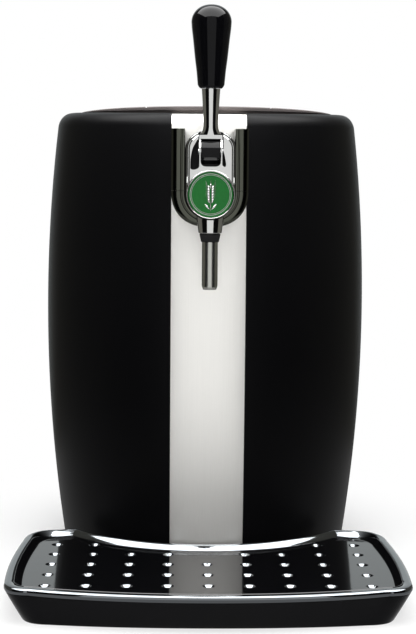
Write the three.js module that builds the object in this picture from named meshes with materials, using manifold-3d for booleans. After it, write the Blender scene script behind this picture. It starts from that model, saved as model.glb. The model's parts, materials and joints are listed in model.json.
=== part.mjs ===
// Mini keg beer dispenser: a cooled, barrel-shaped housing for one small keg, with a lever tap on a
// steel strip, a hinged lid and a drip tray. Millimetres, +Z up, front towards -Y, and the origin
// under the middle of the whole machine. Inside the machine group the keg's axis is x = 0, y = 0.
import * as THREE from 'three';
import { mergeVertices } from 'three/addons/utils/BufferGeometryUtils.js';
import Module from 'manifold-3d';

const wasm = await Module();
wasm.setup();

// Driving dimensions of the whole machine
const trayFront = 264;
const bodyRear = 170;
const bodyBottom = 4;
const bodyTop = 340;
const bodyHalf = 126;
const bodyNose = 10;
const bodyMidZ = 187;
const bodySideRadius = 1220;
const bodyEdgeRadius = 9;
const wall = 3.2;
const seam = 0.4;
const fit = 0.3;
const overrun = 5;
const pinPlay = 0.15;

// Base and shells
const basePlate = 4;
const flangeWide = 14;
const flangeThick = 3;
const topOpeningInset = 22;
const topOpeningRear = 131;

// Front strip
const stripHalf = 27;
const stripInset = 0.6;
const stripThick = 1.2;
const stripBottom = 12;

// Keg chamber
const chamberRadius = 84;
const chamberWall = 1.5;
const chamberFloorZ = 60;
const chamberRimZ = 335.8;
const chamberRim = 92;
const jacketRadius = 108;
const jacketBottom = 40;
const jacketTop = 318;

// Lid and its hinge
const lidInset = 16.5;
const lidRear = 112;
const lidGap = 0.6;
const lidEdge = 1;
const lidCrown = 3.7;
const hingeY = 118;
const hingeZ = 337.5;
const knuckleRadius = 4;
const hingePinRadius = 1.8;

// Tap and lever
const spoutY = -179;
const tapHalf = 17.3;
const badgeZ = 283.1;
const tapFront = -183;
const archZ = 314;
const archRise = 13;
const pivotY = -176;
const pivotZ = 312;
const lineRise = 4.9;
const lineZ = badgeZ + lineRise;
const lineRadius = 3;
const leverPinRadius = 2;
const drumRadius = 8.8;
const drumHalf = 6.5;

// Drip tray
const trayTop = 20;
const trayHalf = 139;
const trayArc = 128;
const trayTaper = 12;
const rimTop = 25;
const rimWide = 6;
const plateTop = 21;

// Finishes
const softBlack = { color: 0x141416, roughness: 0.62, metalness: 0 };
const glossBlack = { color: 0x08080a, roughness: 0.08, metalness: 0 };
const brushedSteel = { color: 0xd6d4cf, roughness: 0.34, metalness: 1 };
const chrome = { color: 0xe4e5e6, roughness: 0.06, metalness: 1 };
const darkChrome = { color: 0x9b9a96, roughness: 0.16, metalness: 1 };
const steel = { color: 0xb9b9b6, roughness: 0.3, metalness: 1 };
const aluminium = { color: 0xc2c4c6, roughness: 0.4, metalness: 1 };
const greyPlastic = { color: 0x716a69, roughness: 0.45, metalness: 0 };
const blackPlastic = { color: 0x1b1b1d, roughness: 0.5, metalness: 0 };
const rubber = { color: 0x202022, roughness: 0.85, metalness: 0 };
const foam = { color: 0xe9e6dd, roughness: 0.9, metalness: 0 };
const ceramic = { color: 0xf2f1ec, roughness: 0.6, metalness: 0 };
const greenEnamel = { color: 0x1e6e2d, roughness: 0.2, metalness: 0 };
const boardGreen = { color: 0x1d5a35, roughness: 0.5, metalness: 0 };

// Numbers of steps round the curves
const ringSides = 36;
const smallSides = 16;
const tinySides = 10;

// A closed geometry as a solid that can be joined and cut.
function toSolid(geometry) {
  const bare = geometry.clone();
  bare.deleteAttribute('normal');
  bare.deleteAttribute('uv');
  const merged = mergeVertices(bare);
  const corners = [];
  for (let i = 0; i < merged.index.count; i += 3) {
    const [a, b, c] = [0, 1, 2].map((k) => merged.index.getX(i + k));
    if (a !== b && b !== c && c !== a) corners.push(a, b, c);
  }
  return new wasm.Manifold(new wasm.Mesh({
    numProp: 3,
    vertProperties: new Float32Array(merged.attributes.position.array),
    triVerts: new Uint32Array(corners),
  }));
}

function toGeometry(solid) {
  const mesh = solid.getMesh();
  const geometry = new THREE.BufferGeometry();
  geometry.setAttribute('position', new THREE.BufferAttribute(mesh.vertProperties, 3));
  geometry.setIndex(new THREE.BufferAttribute(mesh.triVerts, 1));
  geometry.computeVertexNormals();
  return geometry;
}

const solidOf = (shape) => (shape.isBufferGeometry ? toSolid(shape) : shape);
const join = (first, ...rest) => rest.reduce((sum, next) => sum.add(solidOf(next)), solidOf(first));
const cut = (first, ...rest) => rest.reduce((left, tool) => left.subtract(solidOf(tool)), solidOf(first));
const common = (first, second) => solidOf(first).intersect(solidOf(second));

// Simple shapes, each a closed geometry
function block(xs, ys, zs) {
  const shape = new THREE.BoxGeometry(xs[1] - xs[0], ys[1] - ys[0], zs[1] - zs[0]);
  return shape.translate((xs[0] + xs[1]) / 2, (ys[0] + ys[1]) / 2, (zs[0] + zs[1]) / 2);
}

function rodZ(radius, zs, sides = smallSides) {
  const shape = new THREE.CylinderGeometry(radius, radius, zs[1] - zs[0], sides);
  return shape.rotateX(Math.PI / 2).translate(0, 0, (zs[0] + zs[1]) / 2);
}

function rodY(radius, ys, sides = smallSides) {
  const shape = new THREE.CylinderGeometry(radius, radius, ys[1] - ys[0], sides);
  return shape.translate(0, (ys[0] + ys[1]) / 2, 0);
}

function rodX(radius, xs, sides = smallSides) {
  const shape = new THREE.CylinderGeometry(radius, radius, xs[1] - xs[0], sides);
  return shape.rotateZ(Math.PI / 2).translate((xs[0] + xs[1]) / 2, 0, 0);
}

// A profile of [radius, height] pairs turned about Z, listed anticlockwise with the radius to the right.
function turned(profile, sides = ringSides) {
  const points = profile.map(([radius, height]) => new THREE.Vector2(radius, height));
  return new THREE.LatheGeometry(points, sides).rotateX(Math.PI / 2);
}

// A ring of points as a flat-ended solid between two heights
function prism(points, zs) {
  const shape = new THREE.ExtrudeGeometry(new THREE.Shape(points), {
    depth: zs[1] - zs[0],
    bevelEnabled: false,
  });
  return shape.translate(0, 0, zs[0]);
}

// Rings of points, all with the same count and going up, joined into one closed skin.
function loft(rings) {
  const count = rings[0].length;
  const index = [];
  for (let level = 0; level + 1 < rings.length; level += 1) {
    for (let i = 0; i < count; i += 1) {
      const a = level * count + i;
      const b = level * count + ((i + 1) % count);
      index.push(a, b, b + count, a, b + count, a + count);
    }
  }
  const flat = (ring) => ring.map((point) => new THREE.Vector2(point.x, point.y));
  const last = (rings.length - 1) * count;
  THREE.ShapeUtils.triangulateShape(flat(rings[0]), []).forEach(([a, b, c]) => index.push(a, c, b));
  THREE.ShapeUtils.triangulateShape(flat(rings.at(-1)), []).forEach(([a, b, c]) => {
    index.push(last + a, last + b, last + c);
  });
  const geometry = new THREE.BufferGeometry().setFromPoints(rings.flat());
  geometry.setIndex(index);
  return geometry;
}

const atHeight = (points, z) => points.map((point) => new THREE.Vector3(point.x, point.y, z));

// The machine group and its pieces
const dispenser = new THREE.Group();
const machine = new THREE.Group();
machine.position.y = (trayFront - bodyRear) / 2;
dispenser.add(machine);

function piece(name, shape, finish, parent = machine) {
  const geometry = toGeometry(solidOf(shape));
  const mesh = new THREE.Mesh(geometry, new THREE.MeshStandardMaterial({ ...finish, flatShading: true }));
  mesh.name = name;
  parent.add(mesh);
  return mesh;
}

// Plan outline: half an ellipse in front and a squarer curve behind
const frontSteps = 20;
const rearSteps = 14;
const rearPower = 3.5;

function planOutline(half, front, rear) {
  const points = [];
  for (let i = 0; i < rearSteps; i += 1) {
    const turn = (i * Math.PI) / rearSteps;
    const across = Math.cos(turn);
    const x = half * Math.sign(across) * Math.abs(across) ** (2 / rearPower);
    points.push(new THREE.Vector2(x, rear * Math.sin(turn) ** (2 / rearPower)));
  }
  for (let i = 0; i < frontSteps; i += 1) {
    const turn = Math.PI + (i * Math.PI) / frontSteps;
    points.push(new THREE.Vector2(half * Math.cos(turn), front * Math.sin(turn)));
  }
  return points;
}

const bodyHalfAt = (z) => bodyHalf - (z - bodyMidZ) ** 2 / (2 * bodySideRadius);
const bodyFrontAt = (z) => bodyHalfAt(z) + bodyNose;

function bodyOutline(z, inset) {
  return planOutline(bodyHalfAt(z) - inset, bodyFrontAt(z) - inset, bodyRear - inset);
}

// The whole housing drawn in by an inset on the sides and the top, rounded over at the top edge
const sideLevels = 5;
const edgeLevels = 3;

function bodySkin(inset) {
  const edgeZ = bodyTop - bodyEdgeRadius;
  const rings = [];
  for (let i = 0; i < sideLevels; i += 1) {
    const z = bodyBottom + ((edgeZ - bodyBottom) * i) / sideLevels;
    rings.push(atHeight(bodyOutline(z, inset), z));
  }
  for (let i = 0; i <= edgeLevels; i += 1) {
    const turn = (i * Math.PI) / 2 / edgeLevels;
    const radius = bodyEdgeRadius - inset;
    const z = edgeZ + radius * Math.sin(turn);
    rings.push(atHeight(bodyOutline(z, inset + radius * (1 - Math.cos(turn))), z));
  }
  return loft(rings);
}

const wide = 2 * bodyTop;
const everywhere = [-wide, wide];
const bodyOuter = toSolid(bodySkin(0));
const bodyInner = toSolid(bodySkin(wall));

// Base pan: floor plate and a stand ring for the cold chamber
const standWall = 4;
const standRadius = 97;
const shellBottom = bodyBottom + basePlate + fit;

const screwHead = { radius: 3.4, thick: 1.9, sink: 0.2 };
const screwRadius = 1.6;
const screwPlay = 0.3;
const bossRadius = 5;
const bossTop = 24;
const baseScrewIn = 9;
const sideScrewX = bodyHalfAt(shellBottom) - baseScrewIn;
const baseScrewPlaces = { left: [-sideScrewX, 0], right: [sideScrewX, 0] };
const rearBoss = { x: 70, y: 151 };
baseScrewPlaces.rear_left = [-rearBoss.x, rearBoss.y];
baseScrewPlaces.rear_right = [rearBoss.x, rearBoss.y];

function basePan() {
  const floor = prism(bodyOutline(bodyBottom, 0), [bodyBottom, bodyBottom + basePlate]);
  const stand = cut(
    rodZ(standRadius, [bodyBottom, jacketBottom - fit], ringSides),
    rodZ(standRadius - standWall, [bodyBottom + basePlate, jacketBottom], ringSides),
  );
  const headTop = bodyBottom + screwHead.sink + screwHead.thick;
  const holes = Object.values(baseScrewPlaces).flatMap(([x, y]) => [
    rodZ(screwRadius + screwPlay, [0, bossTop]).translate(x, y, 0),
    rodZ(screwHead.radius + screwPlay, [0, headTop]).translate(x, y, 0),
  ]);
  return cut(join(floor, stand), ...holes);
}
piece('base_pan', basePan(), blackPlastic);

// Screws, modelled along +Z with the head's outer face at zero and the shank pointing up
function screw(name, radius, head, length, finish = steel) {
  const shape = join(
    rodZ(head.radius, [0, head.thick], tinySides),
    rodZ(radius, [head.thick / 2, length], tinySides),
  );
  const slotHalf = head.radius / 6;
  const slot = block([-head.radius, head.radius], [-slotHalf, slotHalf], [-head.thick, head.thick / 2]);
  return piece(name, cut(shape, slot), finish);
}

const baseScrewLength = 15;
for (const [place, [x, y]] of Object.entries(baseScrewPlaces)) {
  const one = screw(`base_screw_${place}`, screwRadius, screwHead, baseScrewLength);
  one.position.set(x, y, bodyBottom + screwHead.sink);
}

// Rubber feet
const foot = { radius: 9, lipRadius: 7.5, lip: 1, frontX: 66, frontY: -80, rearX: 80, rearY: 132 };
const footPlaces = {
  front_left: [-foot.frontX, foot.frontY],
  front_right: [foot.frontX, foot.frontY],
  rear_left: [-foot.rearX, foot.rearY],
  rear_right: [foot.rearX, foot.rearY],
};
for (const [place, [x, y]] of Object.entries(footPlaces)) {
  const profile = [[0, 0], [foot.lipRadius, 0], [foot.radius, foot.lip]];
  profile.push([foot.radius, bodyBottom - fit], [0, bodyBottom - fit]);
  piece(`foot_${place}`, turned(profile, smallSides), rubber).position.set(x, y, 0);
}

// Line port and screws through the front wall, which several pieces make room for
const port = { radius: 6, flange: 9, flangeThick: 1.3, reach: 136 };
const tapScrewZs = { lower: 271, upper: 305 };
const tapScrewRadius = 2;
const tapScrewHead = { radius: 3.8, thick: 2 };
const tapScrewLength = 25;
const tapScrewLift = 1.2;
const tapScrewEnd = 152;
const frontHoles = [
  rodY(port.radius + fit, [-trayFront, 0]).translate(0, 0, lineZ),
  ...Object.values(tapScrewZs).map((z) => (
    rodY(tapScrewRadius + screwPlay, [-trayFront, 0], tinySides).translate(0, 0, z)
  )),
];

// Rear panel: the slice of the housing's rear wall between the two shells
const panel = { half: 58, bottom: 14, top: 312, lip: 8, lipThick: 3 };
const panelScrewX = 52;
const panelScrewZs = { lower: 26, upper: 300 };
const rearScrewRadius = 1.5;
const rearScrewHead = { radius: 3, thick: 1.8 };
const rearScrewLength = 9;
const rearScrewFaceY = 166.6;

function rearScrewHoles(radius) {
  return [-panelScrewX, panelScrewX].flatMap((x) => Object.values(panelScrewZs).map((z) => (
    rodY(radius, [rearScrewFaceY - rearScrewLength - fit, bodyRear], tinySides).translate(x, 0, z)
  )));
}

// Left and right shells
function shells() {
  const bodyBox = block(everywhere, everywhere, [shellBottom, bodyTop + overrun]);
  const hollow = common(bodyInner, block(everywhere, everywhere, [shellBottom + flangeThick, bodyTop]));
  const topOpening = planOutline(
    bodyHalfAt(bodyTop) - topOpeningInset,
    bodyFrontAt(bodyTop) - topOpeningInset,
    topOpeningRear,
  );
  const bottomOpening = bodyOutline(shellBottom, flangeWide);
  const recess = cut(
    block([-stripHalf - fit, stripHalf + fit], [-trayFront, 0], [stripBottom - fit, bodyTop + overrun]),
    bodySkin(stripInset + stripThick + fit),
  );
  const rearOpening = block(
    [-panel.half - fit, panel.half + fit],
    [0, wide],
    [panel.bottom - fit, panel.top + fit],
  );
  const walls = cut(
    common(bodyOuter, bodyBox),
    hollow,
    prism(topOpening, [bodyTop - 2 * bodyEdgeRadius, bodyTop + overrun]),
    prism(bottomOpening, [0, bodyBottom + 2 * bodyEdgeRadius]),
    recess,
    rearOpening,
  );
  // Lips behind the edges of the rear opening, which the panel's screws bite into
  const lipInset = wall + fit;
  const lipBand = common(
    cut(bodySkin(lipInset), bodySkin(lipInset + panel.lipThick)),
    block([panel.half - panel.lip, panel.half + panel.lip], [0, wide], [panel.bottom, panel.top]),
  );
  const lipRoot = common(
    cut(bodySkin(wall / 2), bodySkin(lipInset + panel.lipThick)),
    block([panel.half + panel.lip / 2, panel.half + panel.lip], [0, wide], [panel.bottom, panel.top]),
  );
  const lip = join(lipBand, lipRoot);
  const mirrored = lip.mirror([1, 0, 0]);
  const bosses = Object.values(baseScrewPlaces).map(([x, y]) => (
    rodZ(bossRadius, [shellBottom, bossTop]).translate(x, y, 0)
  ));
  const bores = Object.values(baseScrewPlaces).map(([x, y]) => (
    rodZ(screwRadius + screwPlay, [0, bodyBottom + baseScrewLength + fit * 3]).translate(x, y, 0)
  ));
  const whole = cut(
    join(walls, lip, mirrored, ...bosses.map((boss) => common(boss, bodyOuter))),
    ...bores,
    ...frontHoles,
    ...rearScrewHoles(rearScrewRadius + screwPlay),
  );
  piece('left_shell', common(whole, block([-wide, -seam / 2], everywhere, everywhere)), softBlack);
  piece('right_shell', common(whole, block([seam / 2, wide], everywhere, everywhere)), softBlack);
}
shells();

// Steel strip down the front, wrapping over the top edge
const stripWrap = 13;
const stripSheet = common(
  cut(bodySkin(stripInset), bodySkin(stripInset + stripThick)),
  block(
    [-stripHalf, stripHalf],
    [-trayFront, -(bodyFrontAt(bodyTop) - bodyEdgeRadius - stripWrap)],
    [stripBottom, bodyTop],
  ),
);
piece('front_strip', cut(stripSheet, ...frontHoles), brushedSteel);

// Curved steel bracket behind the front wall, which carries the tap's screws
const bracket = { half: 22, bottom: 258, top: 318, thick: 2.5 };
const bracketSheet = common(
  cut(bodySkin(wall + fit), bodySkin(wall + fit + bracket.thick)),
  block([-bracket.half, bracket.half], [-trayFront, 0], [bracket.bottom, bracket.top]),
);
piece('tap_bracket', cut(bracketSheet, ...frontHoles), steel);

// Rear panel with its vents and cut-outs
const fan = { z: 200, half: 40, bore: 37.5, front: 140.3, rear: 160 };
const vent = { high: 4, pitch: 11, radius: 38, lowHalf: 34, lowZs: [92, 104, 116] };
const inlet = {
  x: -30, z: 50, half: 14, high: 10, front: 146, face: 167.4, flange: 3, flangeYs: [161.4, 164.2],
};
const switchBox = {
  x: 30, z: 50, half: 10.5, high: 14, front: 148, face: 167.2, flange: 3, flangeYs: [161.4, 164.2],
};

function socketCut(box) {
  return block(
    [box.x - box.half - fit, box.x + box.half + fit],
    [0, wide],
    [box.z - box.high - fit, box.z + box.high + fit],
  );
}

function rearPanel() {
  const sheet = common(
    cut(bodyOuter, bodyInner),
    block([-panel.half, panel.half], [0, wide], [panel.bottom, panel.top]),
  );
  const slots = vent.lowZs.map((z) => (
    block([-vent.lowHalf, vent.lowHalf], [0, wide], [z - vent.high / 2, z + vent.high / 2])
  ));
  for (let rise = vent.high - vent.radius; rise <= vent.radius - vent.high; rise += vent.pitch) {
    const half = Math.sqrt(vent.radius ** 2 - rise ** 2);
    const z = fan.z + rise;
    slots.push(block([-half, half], [0, wide], [z - vent.high / 2, z + vent.high / 2]));
  }
  const heads = [-panelScrewX, panelScrewX].flatMap((x) => Object.values(panelScrewZs).map((z) => (
    rodY(rearScrewHead.radius + fit, [rearScrewFaceY - rearScrewHead.thick - fit, bodyRear + overrun])
      .translate(x, 0, z)
  )));
  return cut(
    sheet,
    ...slots,
    socketCut(inlet),
    socketCut(switchBox),
    ...rearScrewHoles(rearScrewRadius + screwPlay),
    ...heads,
  );
}
piece('rear_panel', rearPanel(), blackPlastic);

for (const [side, x] of [['left', -panelScrewX], ['right', panelScrewX]]) {
  for (const [level, z] of Object.entries(panelScrewZs)) {
    const one = screw(`rear_screw_${level}_${side}`, rearScrewRadius, rearScrewHead, rearScrewLength);
    one.rotation.x = Math.PI / 2;
    one.position.set(x, rearScrewFaceY, z);
  }
}

// Power socket: a flanged box behind the panel with a recess and two pins
const recess = { half: 11, high: 7, floor: 153 };
const socketPin = { radius: 1.3, x: 4.3, end: 162 };
const socketBody = cut(
  join(
    block([-inlet.half, inlet.half], [inlet.front, inlet.face], [-inlet.high, inlet.high]),
    block(
      [-inlet.half - inlet.flange, inlet.half + inlet.flange],
      inlet.flangeYs,
      [-inlet.high - inlet.flange, inlet.high + inlet.flange],
    ),
  ),
  block([-recess.half, recess.half], [recess.floor, bodyRear], [-recess.high, recess.high]),
);
const socketPins = [-socketPin.x, socketPin.x].map((x) => (
  rodY(socketPin.radius, [recess.floor - fit, socketPin.end], tinySides).translate(x, 0, 0)
));
piece('power_inlet', join(socketBody, ...socketPins), blackPlastic).position.set(inlet.x, 0, inlet.z);

// Rocker switch: a housing with a well, and a rocker on two short trunnions
const rocker = {
  half: 7.4, high: 10, y: 160, crest: 5.5, waist: 3.6, skirt: 1, foot: 6, depth: 3, tilt: 12,
};
const trunnion = { radius: 1.2, reach: 1.8 };
const well = { half: rocker.half + fit, high: 11.4, floor: 154 };
const switchBody = cut(
  join(
    block(
      [-switchBox.half, switchBox.half],
      [switchBox.front, switchBox.face],
      [-switchBox.high, switchBox.high],
    ),
    block(
      [-switchBox.half - switchBox.flange, switchBox.half + switchBox.flange],
      switchBox.flangeYs,
      [-switchBox.high - switchBox.flange, switchBox.high + switchBox.flange],
    ),
  ),
  block([-well.half, well.half], [well.floor, bodyRear], [-well.high, well.high]),
  rodX(trunnion.radius + pinPlay, [-well.half - trunnion.reach, well.half + trunnion.reach], tinySides)
    .translate(0, rocker.y, 0),
);
piece('switch_housing', switchBody, blackPlastic).position.set(switchBox.x, 0, switchBox.z);

const rockerProfile = new THREE.Shape([
  [rocker.crest, -rocker.high],
  [rocker.waist, 0],
  [rocker.crest, rocker.high],
  [rocker.skirt, rocker.high],
  [-rocker.depth, rocker.foot],
  [-rocker.depth, -rocker.foot],
  [rocker.skirt, -rocker.high],
].map(([y, z]) => new THREE.Vector2(y, z)));
const rockerWide = { depth: rocker.half * 2, bevelEnabled: false };
const rockerBlock = new THREE.ExtrudeGeometry(rockerProfile, rockerWide)
  .rotateX(Math.PI / 2)
  .rotateZ(Math.PI / 2)
  .translate(-rocker.half, 0, 0);
const trunnionHalf = well.half + trunnion.reach / 2;
const trunnions = rodX(trunnion.radius, [-trunnionHalf, trunnionHalf], tinySides);
const rockerPiece = piece('switch_rocker', join(rockerBlock, trunnions), glossBlack);
rockerPiece.position.set(switchBox.x, rocker.y, switchBox.z);
rockerPiece.rotation.x = THREE.MathUtils.degToRad(-rocker.tilt);

// Cold chamber: liner, foam jacket, and the cooling pack behind it
const jacketBore = chamberRadius + chamberWall + fit;
const linerProfile = [
  [0, chamberFloorZ],
  [chamberRadius + chamberWall, chamberFloorZ],
  [chamberRadius + chamberWall, chamberRimZ - chamberWall],
  [chamberRim, chamberRimZ - chamberWall],
  [chamberRim, chamberRimZ],
  [chamberRadius, chamberRimZ],
  [chamberRadius, chamberFloorZ + chamberWall],
  [0, chamberFloorZ + chamberWall],
];
const portHole = rodY(port.radius + fit, [-trayFront, 0]).translate(0, 0, lineZ);
piece('chamber_liner', cut(turned(linerProfile), portHole), aluminium);

const cold = { half: 22, high: 22 };
const peltier = { half: 20, thick: 4 };
const sink = { half: 42, high: 48, plate: 5, rear: 140, finThick: 2, fins: 9 };
const coldFront = jacketRadius;
const coldWindow = block(
  [-cold.half - fit, cold.half + fit],
  [0, wide],
  [fan.z - cold.high - fit, fan.z + cold.high + fit],
);
const jacketProfile = [
  [0, jacketBottom],
  [jacketRadius, jacketBottom],
  [jacketRadius, jacketTop],
  [jacketBore, jacketTop],
  [jacketBore, chamberFloorZ - fit],
  [0, chamberFloorZ - fit],
];
piece('insulation_jacket', cut(turned(jacketProfile), portHole, coldWindow), foam);

const coldBlock = cut(
  block([-cold.half, cold.half], [0, coldFront], [-cold.high, cold.high]),
  rodZ(jacketBore, [-wide, wide], ringSides),
);
piece('cold_block', coldBlock, aluminium).position.z = fan.z;

const peltierFront = coldFront + fit;
const peltierBlock = block(
  [-peltier.half, peltier.half],
  [peltierFront, peltierFront + peltier.thick],
  [-peltier.half, peltier.half],
);
piece('peltier_module', peltierBlock, ceramic).position.z = fan.z;

const sinkFront = peltierFront + peltier.thick + fit;
const finPitch = (2 * sink.half - sink.finThick) / (sink.fins - 1);
const fins = Array.from({ length: sink.fins }, (unused, i) => {
  const x = i * finPitch - sink.half;
  return block([x, x + sink.finThick], [sinkFront, sink.rear], [-sink.high, sink.high]);
});
const sinkPlate = block(
  [-sink.half, sink.half],
  [sinkFront, sinkFront + sink.plate],
  [-sink.high, sink.high],
);
piece('heat_sink', join(sinkPlate, ...fins), aluminium).position.z = fan.z;

// Fan: a square frame with a spider that carries the rotor on a short spindle
const fanHub = { radius: 13, spindle: 3, cap: 1.6, spider: 3, arm: 2.5, front: 143.5 };
const fanMidY = fan.rear - fanHub.spider;
const fanArms = [0, Math.PI / 2].map((turn) => (
  block([-fan.bore - fit, fan.bore + fit], [fanMidY, fan.rear], [-fanHub.arm, fanHub.arm])
    .rotateY(turn + Math.PI / 4)
));
const fanShell = cut(
  block([-fan.half, fan.half], [fan.front, fan.rear], [-fan.half, fan.half]),
  rodY(fan.bore, [fan.front - overrun, fan.rear + overrun], ringSides),
);
const fanFrame = join(
  fanShell,
  ...fanArms,
  rodY(fanHub.radius, [fanMidY, fan.rear]),
  rodY(fanHub.spindle, [fanHub.front + fanHub.cap + fit, fanMidY + fanHub.spider / 2], tinySides),
);
piece('fan_frame', fanFrame, blackPlastic).position.z = fan.z;

const blade = { count: 7, thick: 1.4, half: 5.2, root: 10, tip: 36, pitch: 0.7 };
const rotorRear = fanMidY - fit;
const rotorMid = (fanHub.front + rotorRear) / 2;
const blades = Array.from({ length: blade.count }, (unused, i) => (
  block([blade.root, blade.tip], [-blade.half, blade.half], [-blade.thick / 2, blade.thick / 2])
    .rotateX(blade.pitch)
    .rotateY((i * 2 * Math.PI) / blade.count)
));
const rotorHub = rodY(fanHub.radius, [fanHub.front - rotorMid, rotorRear - rotorMid]);
const rotorBoreYs = [fanHub.front - rotorMid + fanHub.cap, rotorRear - rotorMid + overrun];
const rotor = cut(join(rotorHub, ...blades), rodY(fanHub.spindle + pinPlay, rotorBoreYs, tinySides));
piece('fan_rotor', rotor, blackPlastic).position.set(0, rotorMid, fan.z);

// Electronics standing on the base pan on either side of the bay
const supply = { xs: [57, 88], ys: [100, 134], high: 100, lidStep: 2 };
const baseFloor = bodyBottom + basePlate + fit;
const flangeFloor = shellBottom + flangeThick + fit;
const supplyCase = join(
  block(supply.xs, supply.ys, [0, supply.high]),
  block(
    [supply.xs[0] + supply.lidStep, supply.xs[1] - supply.lidStep],
    [supply.ys[0] + supply.lidStep, supply.ys[1] - supply.lidStep],
    [supply.high - supply.lidStep, supply.high + supply.lidStep],
  ),
);
piece('power_supply', supplyCase, greyPlastic).position.z = flangeFloor;

const board = { x: -74, thick: 1.6, ys: [98, 136], high: 86 };
const boardParts = {
  reach: 12, relay: [104, 120, 12, 28], driver: [106, 130, 44, 66], cap: { radius: 5, y: 126, z: 76 },
};
const onBoard = ([y0, y1, z0, z1], reach) => block([0, reach], [y0, y1], [z0, z1]);
const boardPiece = join(
  block([0, board.thick], board.ys, [0, board.high]),
  onBoard(boardParts.relay, boardParts.reach),
  onBoard(boardParts.driver, boardParts.reach / 2),
  rodX(boardParts.cap.radius, [0, boardParts.reach]).translate(0, boardParts.cap.y, boardParts.cap.z),
);
piece('control_board', boardPiece, boardGreen).position.set(board.x, 0, baseFloor);

// Top deck: closes the housing round the chamber's mouth and carries the lid's hinge
const deck = { inset: 9.6, bottom: 331, thick: 3, rimWide: 3.4, collar: 4 };
const deckTop = deck.bottom + deck.thick;
const flangeUnder = bodyTop - wall;
const lug = { inner: 46, outer: 54 };
const barrelHalf = lug.inner - fit;

function topDeck() {
  const outline = bodyOutline(deck.bottom, deck.inset);
  const inner = bodyOutline(deck.bottom, deck.inset + deck.rimWide);
  const plate = prism(outline, [deck.bottom, flangeUnder - fit]);
  const pocket = prism(inner, [deckTop, bodyTop]);
  const collar = rodZ(jacketBore + deck.collar, [jacketTop + fit, deckTop], ringSides);
  const mouth = rodZ(jacketBore, [jacketTop - overrun, bodyTop], ringSides);
  const notch = block(
    [-barrelHalf - 2 * fit, barrelHalf + 2 * fit],
    [hingeY - knuckleRadius - 2 * fit, hingeY + knuckleRadius + 2 * fit],
    [deck.bottom - overrun, bodyTop],
  );
  const lugs = [-1, 1].flatMap((side) => {
    const xs = side < 0 ? [-lug.outer, -lug.inner] : [lug.inner, lug.outer];
    return [
      rodX(knuckleRadius, xs).translate(0, hingeY, hingeZ),
      block(xs, [hingeY - knuckleRadius, hingeY + knuckleRadius], [deck.bottom, hingeZ]),
    ];
  });
  const bore = rodX(hingePinRadius + pinPlay, [-lug.outer - fit, lug.outer + fit])
    .translate(0, hingeY, hingeZ);
  return cut(join(cut(join(cut(plate, pocket), collar), mouth, notch), ...lugs), bore);
}
piece('top_deck', topDeck(), blackPlastic);

const hingePin = rodX(hingePinRadius, [-lug.outer, lug.outer]);
piece('hinge_pin', hingePin, steel).position.set(0, hingeY, hingeZ);

// Lid: a crowned cover with two shallow grooves, a plug under it and a seal round the plug
const lidBottom = bodyTop + lidGap;
const lidHalf = bodyHalfAt(bodyTop) - lidInset;
const lidFront = bodyFrontAt(bodyTop) - lidInset;
const lidBevel = 0.8;
const lidBevelIn = 1.2;
const lidRingShares = [0.62, 0.15];
const groove = { x: 46, half: 0.7, deep: 0.8 };
const lidTopAt = (x) => lidBottom + lidEdge + lidCrown * (1 - (x / lidHalf) ** 2);
const lidOutline = (inset) => planOutline(lidHalf - inset, lidFront - inset, lidRear - inset);

function lidShell() {
  const edge = lidOutline(0);
  const top = lidOutline(lidBevelIn);
  const crowned = (points, drop) => points.map((point) => (
    new THREE.Vector3(point.x, point.y, Math.max(lidTopAt(point.x) - drop, lidBottom + fit / 2))
  ));
  const rings = [atHeight(edge, lidBottom), crowned(edge, lidBevel), crowned(top, 0)];
  lidRingShares.forEach((share) => {
    rings.push(crowned(top.map((point) => point.clone().multiplyScalar(share)), 0));
  });
  const grooves = [-groove.x, groove.x].map((x) => block(
    [x - groove.half, x + groove.half],
    [-wide, lidRear - 3 * knuckleRadius],
    [lidTopAt(groove.x) - groove.deep, bodyTop + 3 * knuckleRadius],
  ));
  const web = block(
    [-barrelHalf, barrelHalf],
    [lidRear - 2 * knuckleRadius, hingeY],
    [lidBottom - fit / 2, hingeZ + knuckleRadius],
  );
  const barrel = rodX(knuckleRadius, [-barrelHalf, barrelHalf]).translate(0, hingeY, hingeZ);
  const bore = rodX(hingePinRadius + pinPlay, [-wide, wide]).translate(0, hingeY, hingeZ);
  return cut(join(cut(loft(rings), ...grooves), web, barrel), bore);
}
piece('lid_shell', lidShell(), greyPlastic);

const plug = { radius: 78, bottom: 326, chamfer: 4, flange: chamberRim, flangeThick: 1.9 };
const plugTop = lidBottom - fit;
const plugProfile = [
  [0, plug.bottom],
  [plug.radius - plug.chamfer, plug.bottom],
  [plug.radius, plug.bottom + plug.chamfer],
  [plug.radius, plugTop - plug.flangeThick],
  [plug.flange, plugTop - plug.flangeThick],
  [plug.flange, plugTop],
  [0, plugTop],
];
piece('lid_liner', turned(plugProfile), blackPlastic);

const seal = { inner: 86.5, outer: 90.5 };
const sealTop = plugTop - plug.flangeThick - fit;
const sealBottom = chamberRimZ + fit;
const sealProfile = [
  [seal.inner, sealBottom],
  [seal.outer, sealBottom],
  [seal.outer, sealTop],
  [seal.inner, sealTop],
  [seal.inner, sealBottom],
];
piece('lid_gasket', turned(sealProfile), rubber);

// Tap body: an oval column on the strip, hollowed for the lever's drum, the pinch bar and the beer line
const archSteps = 9;

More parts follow.
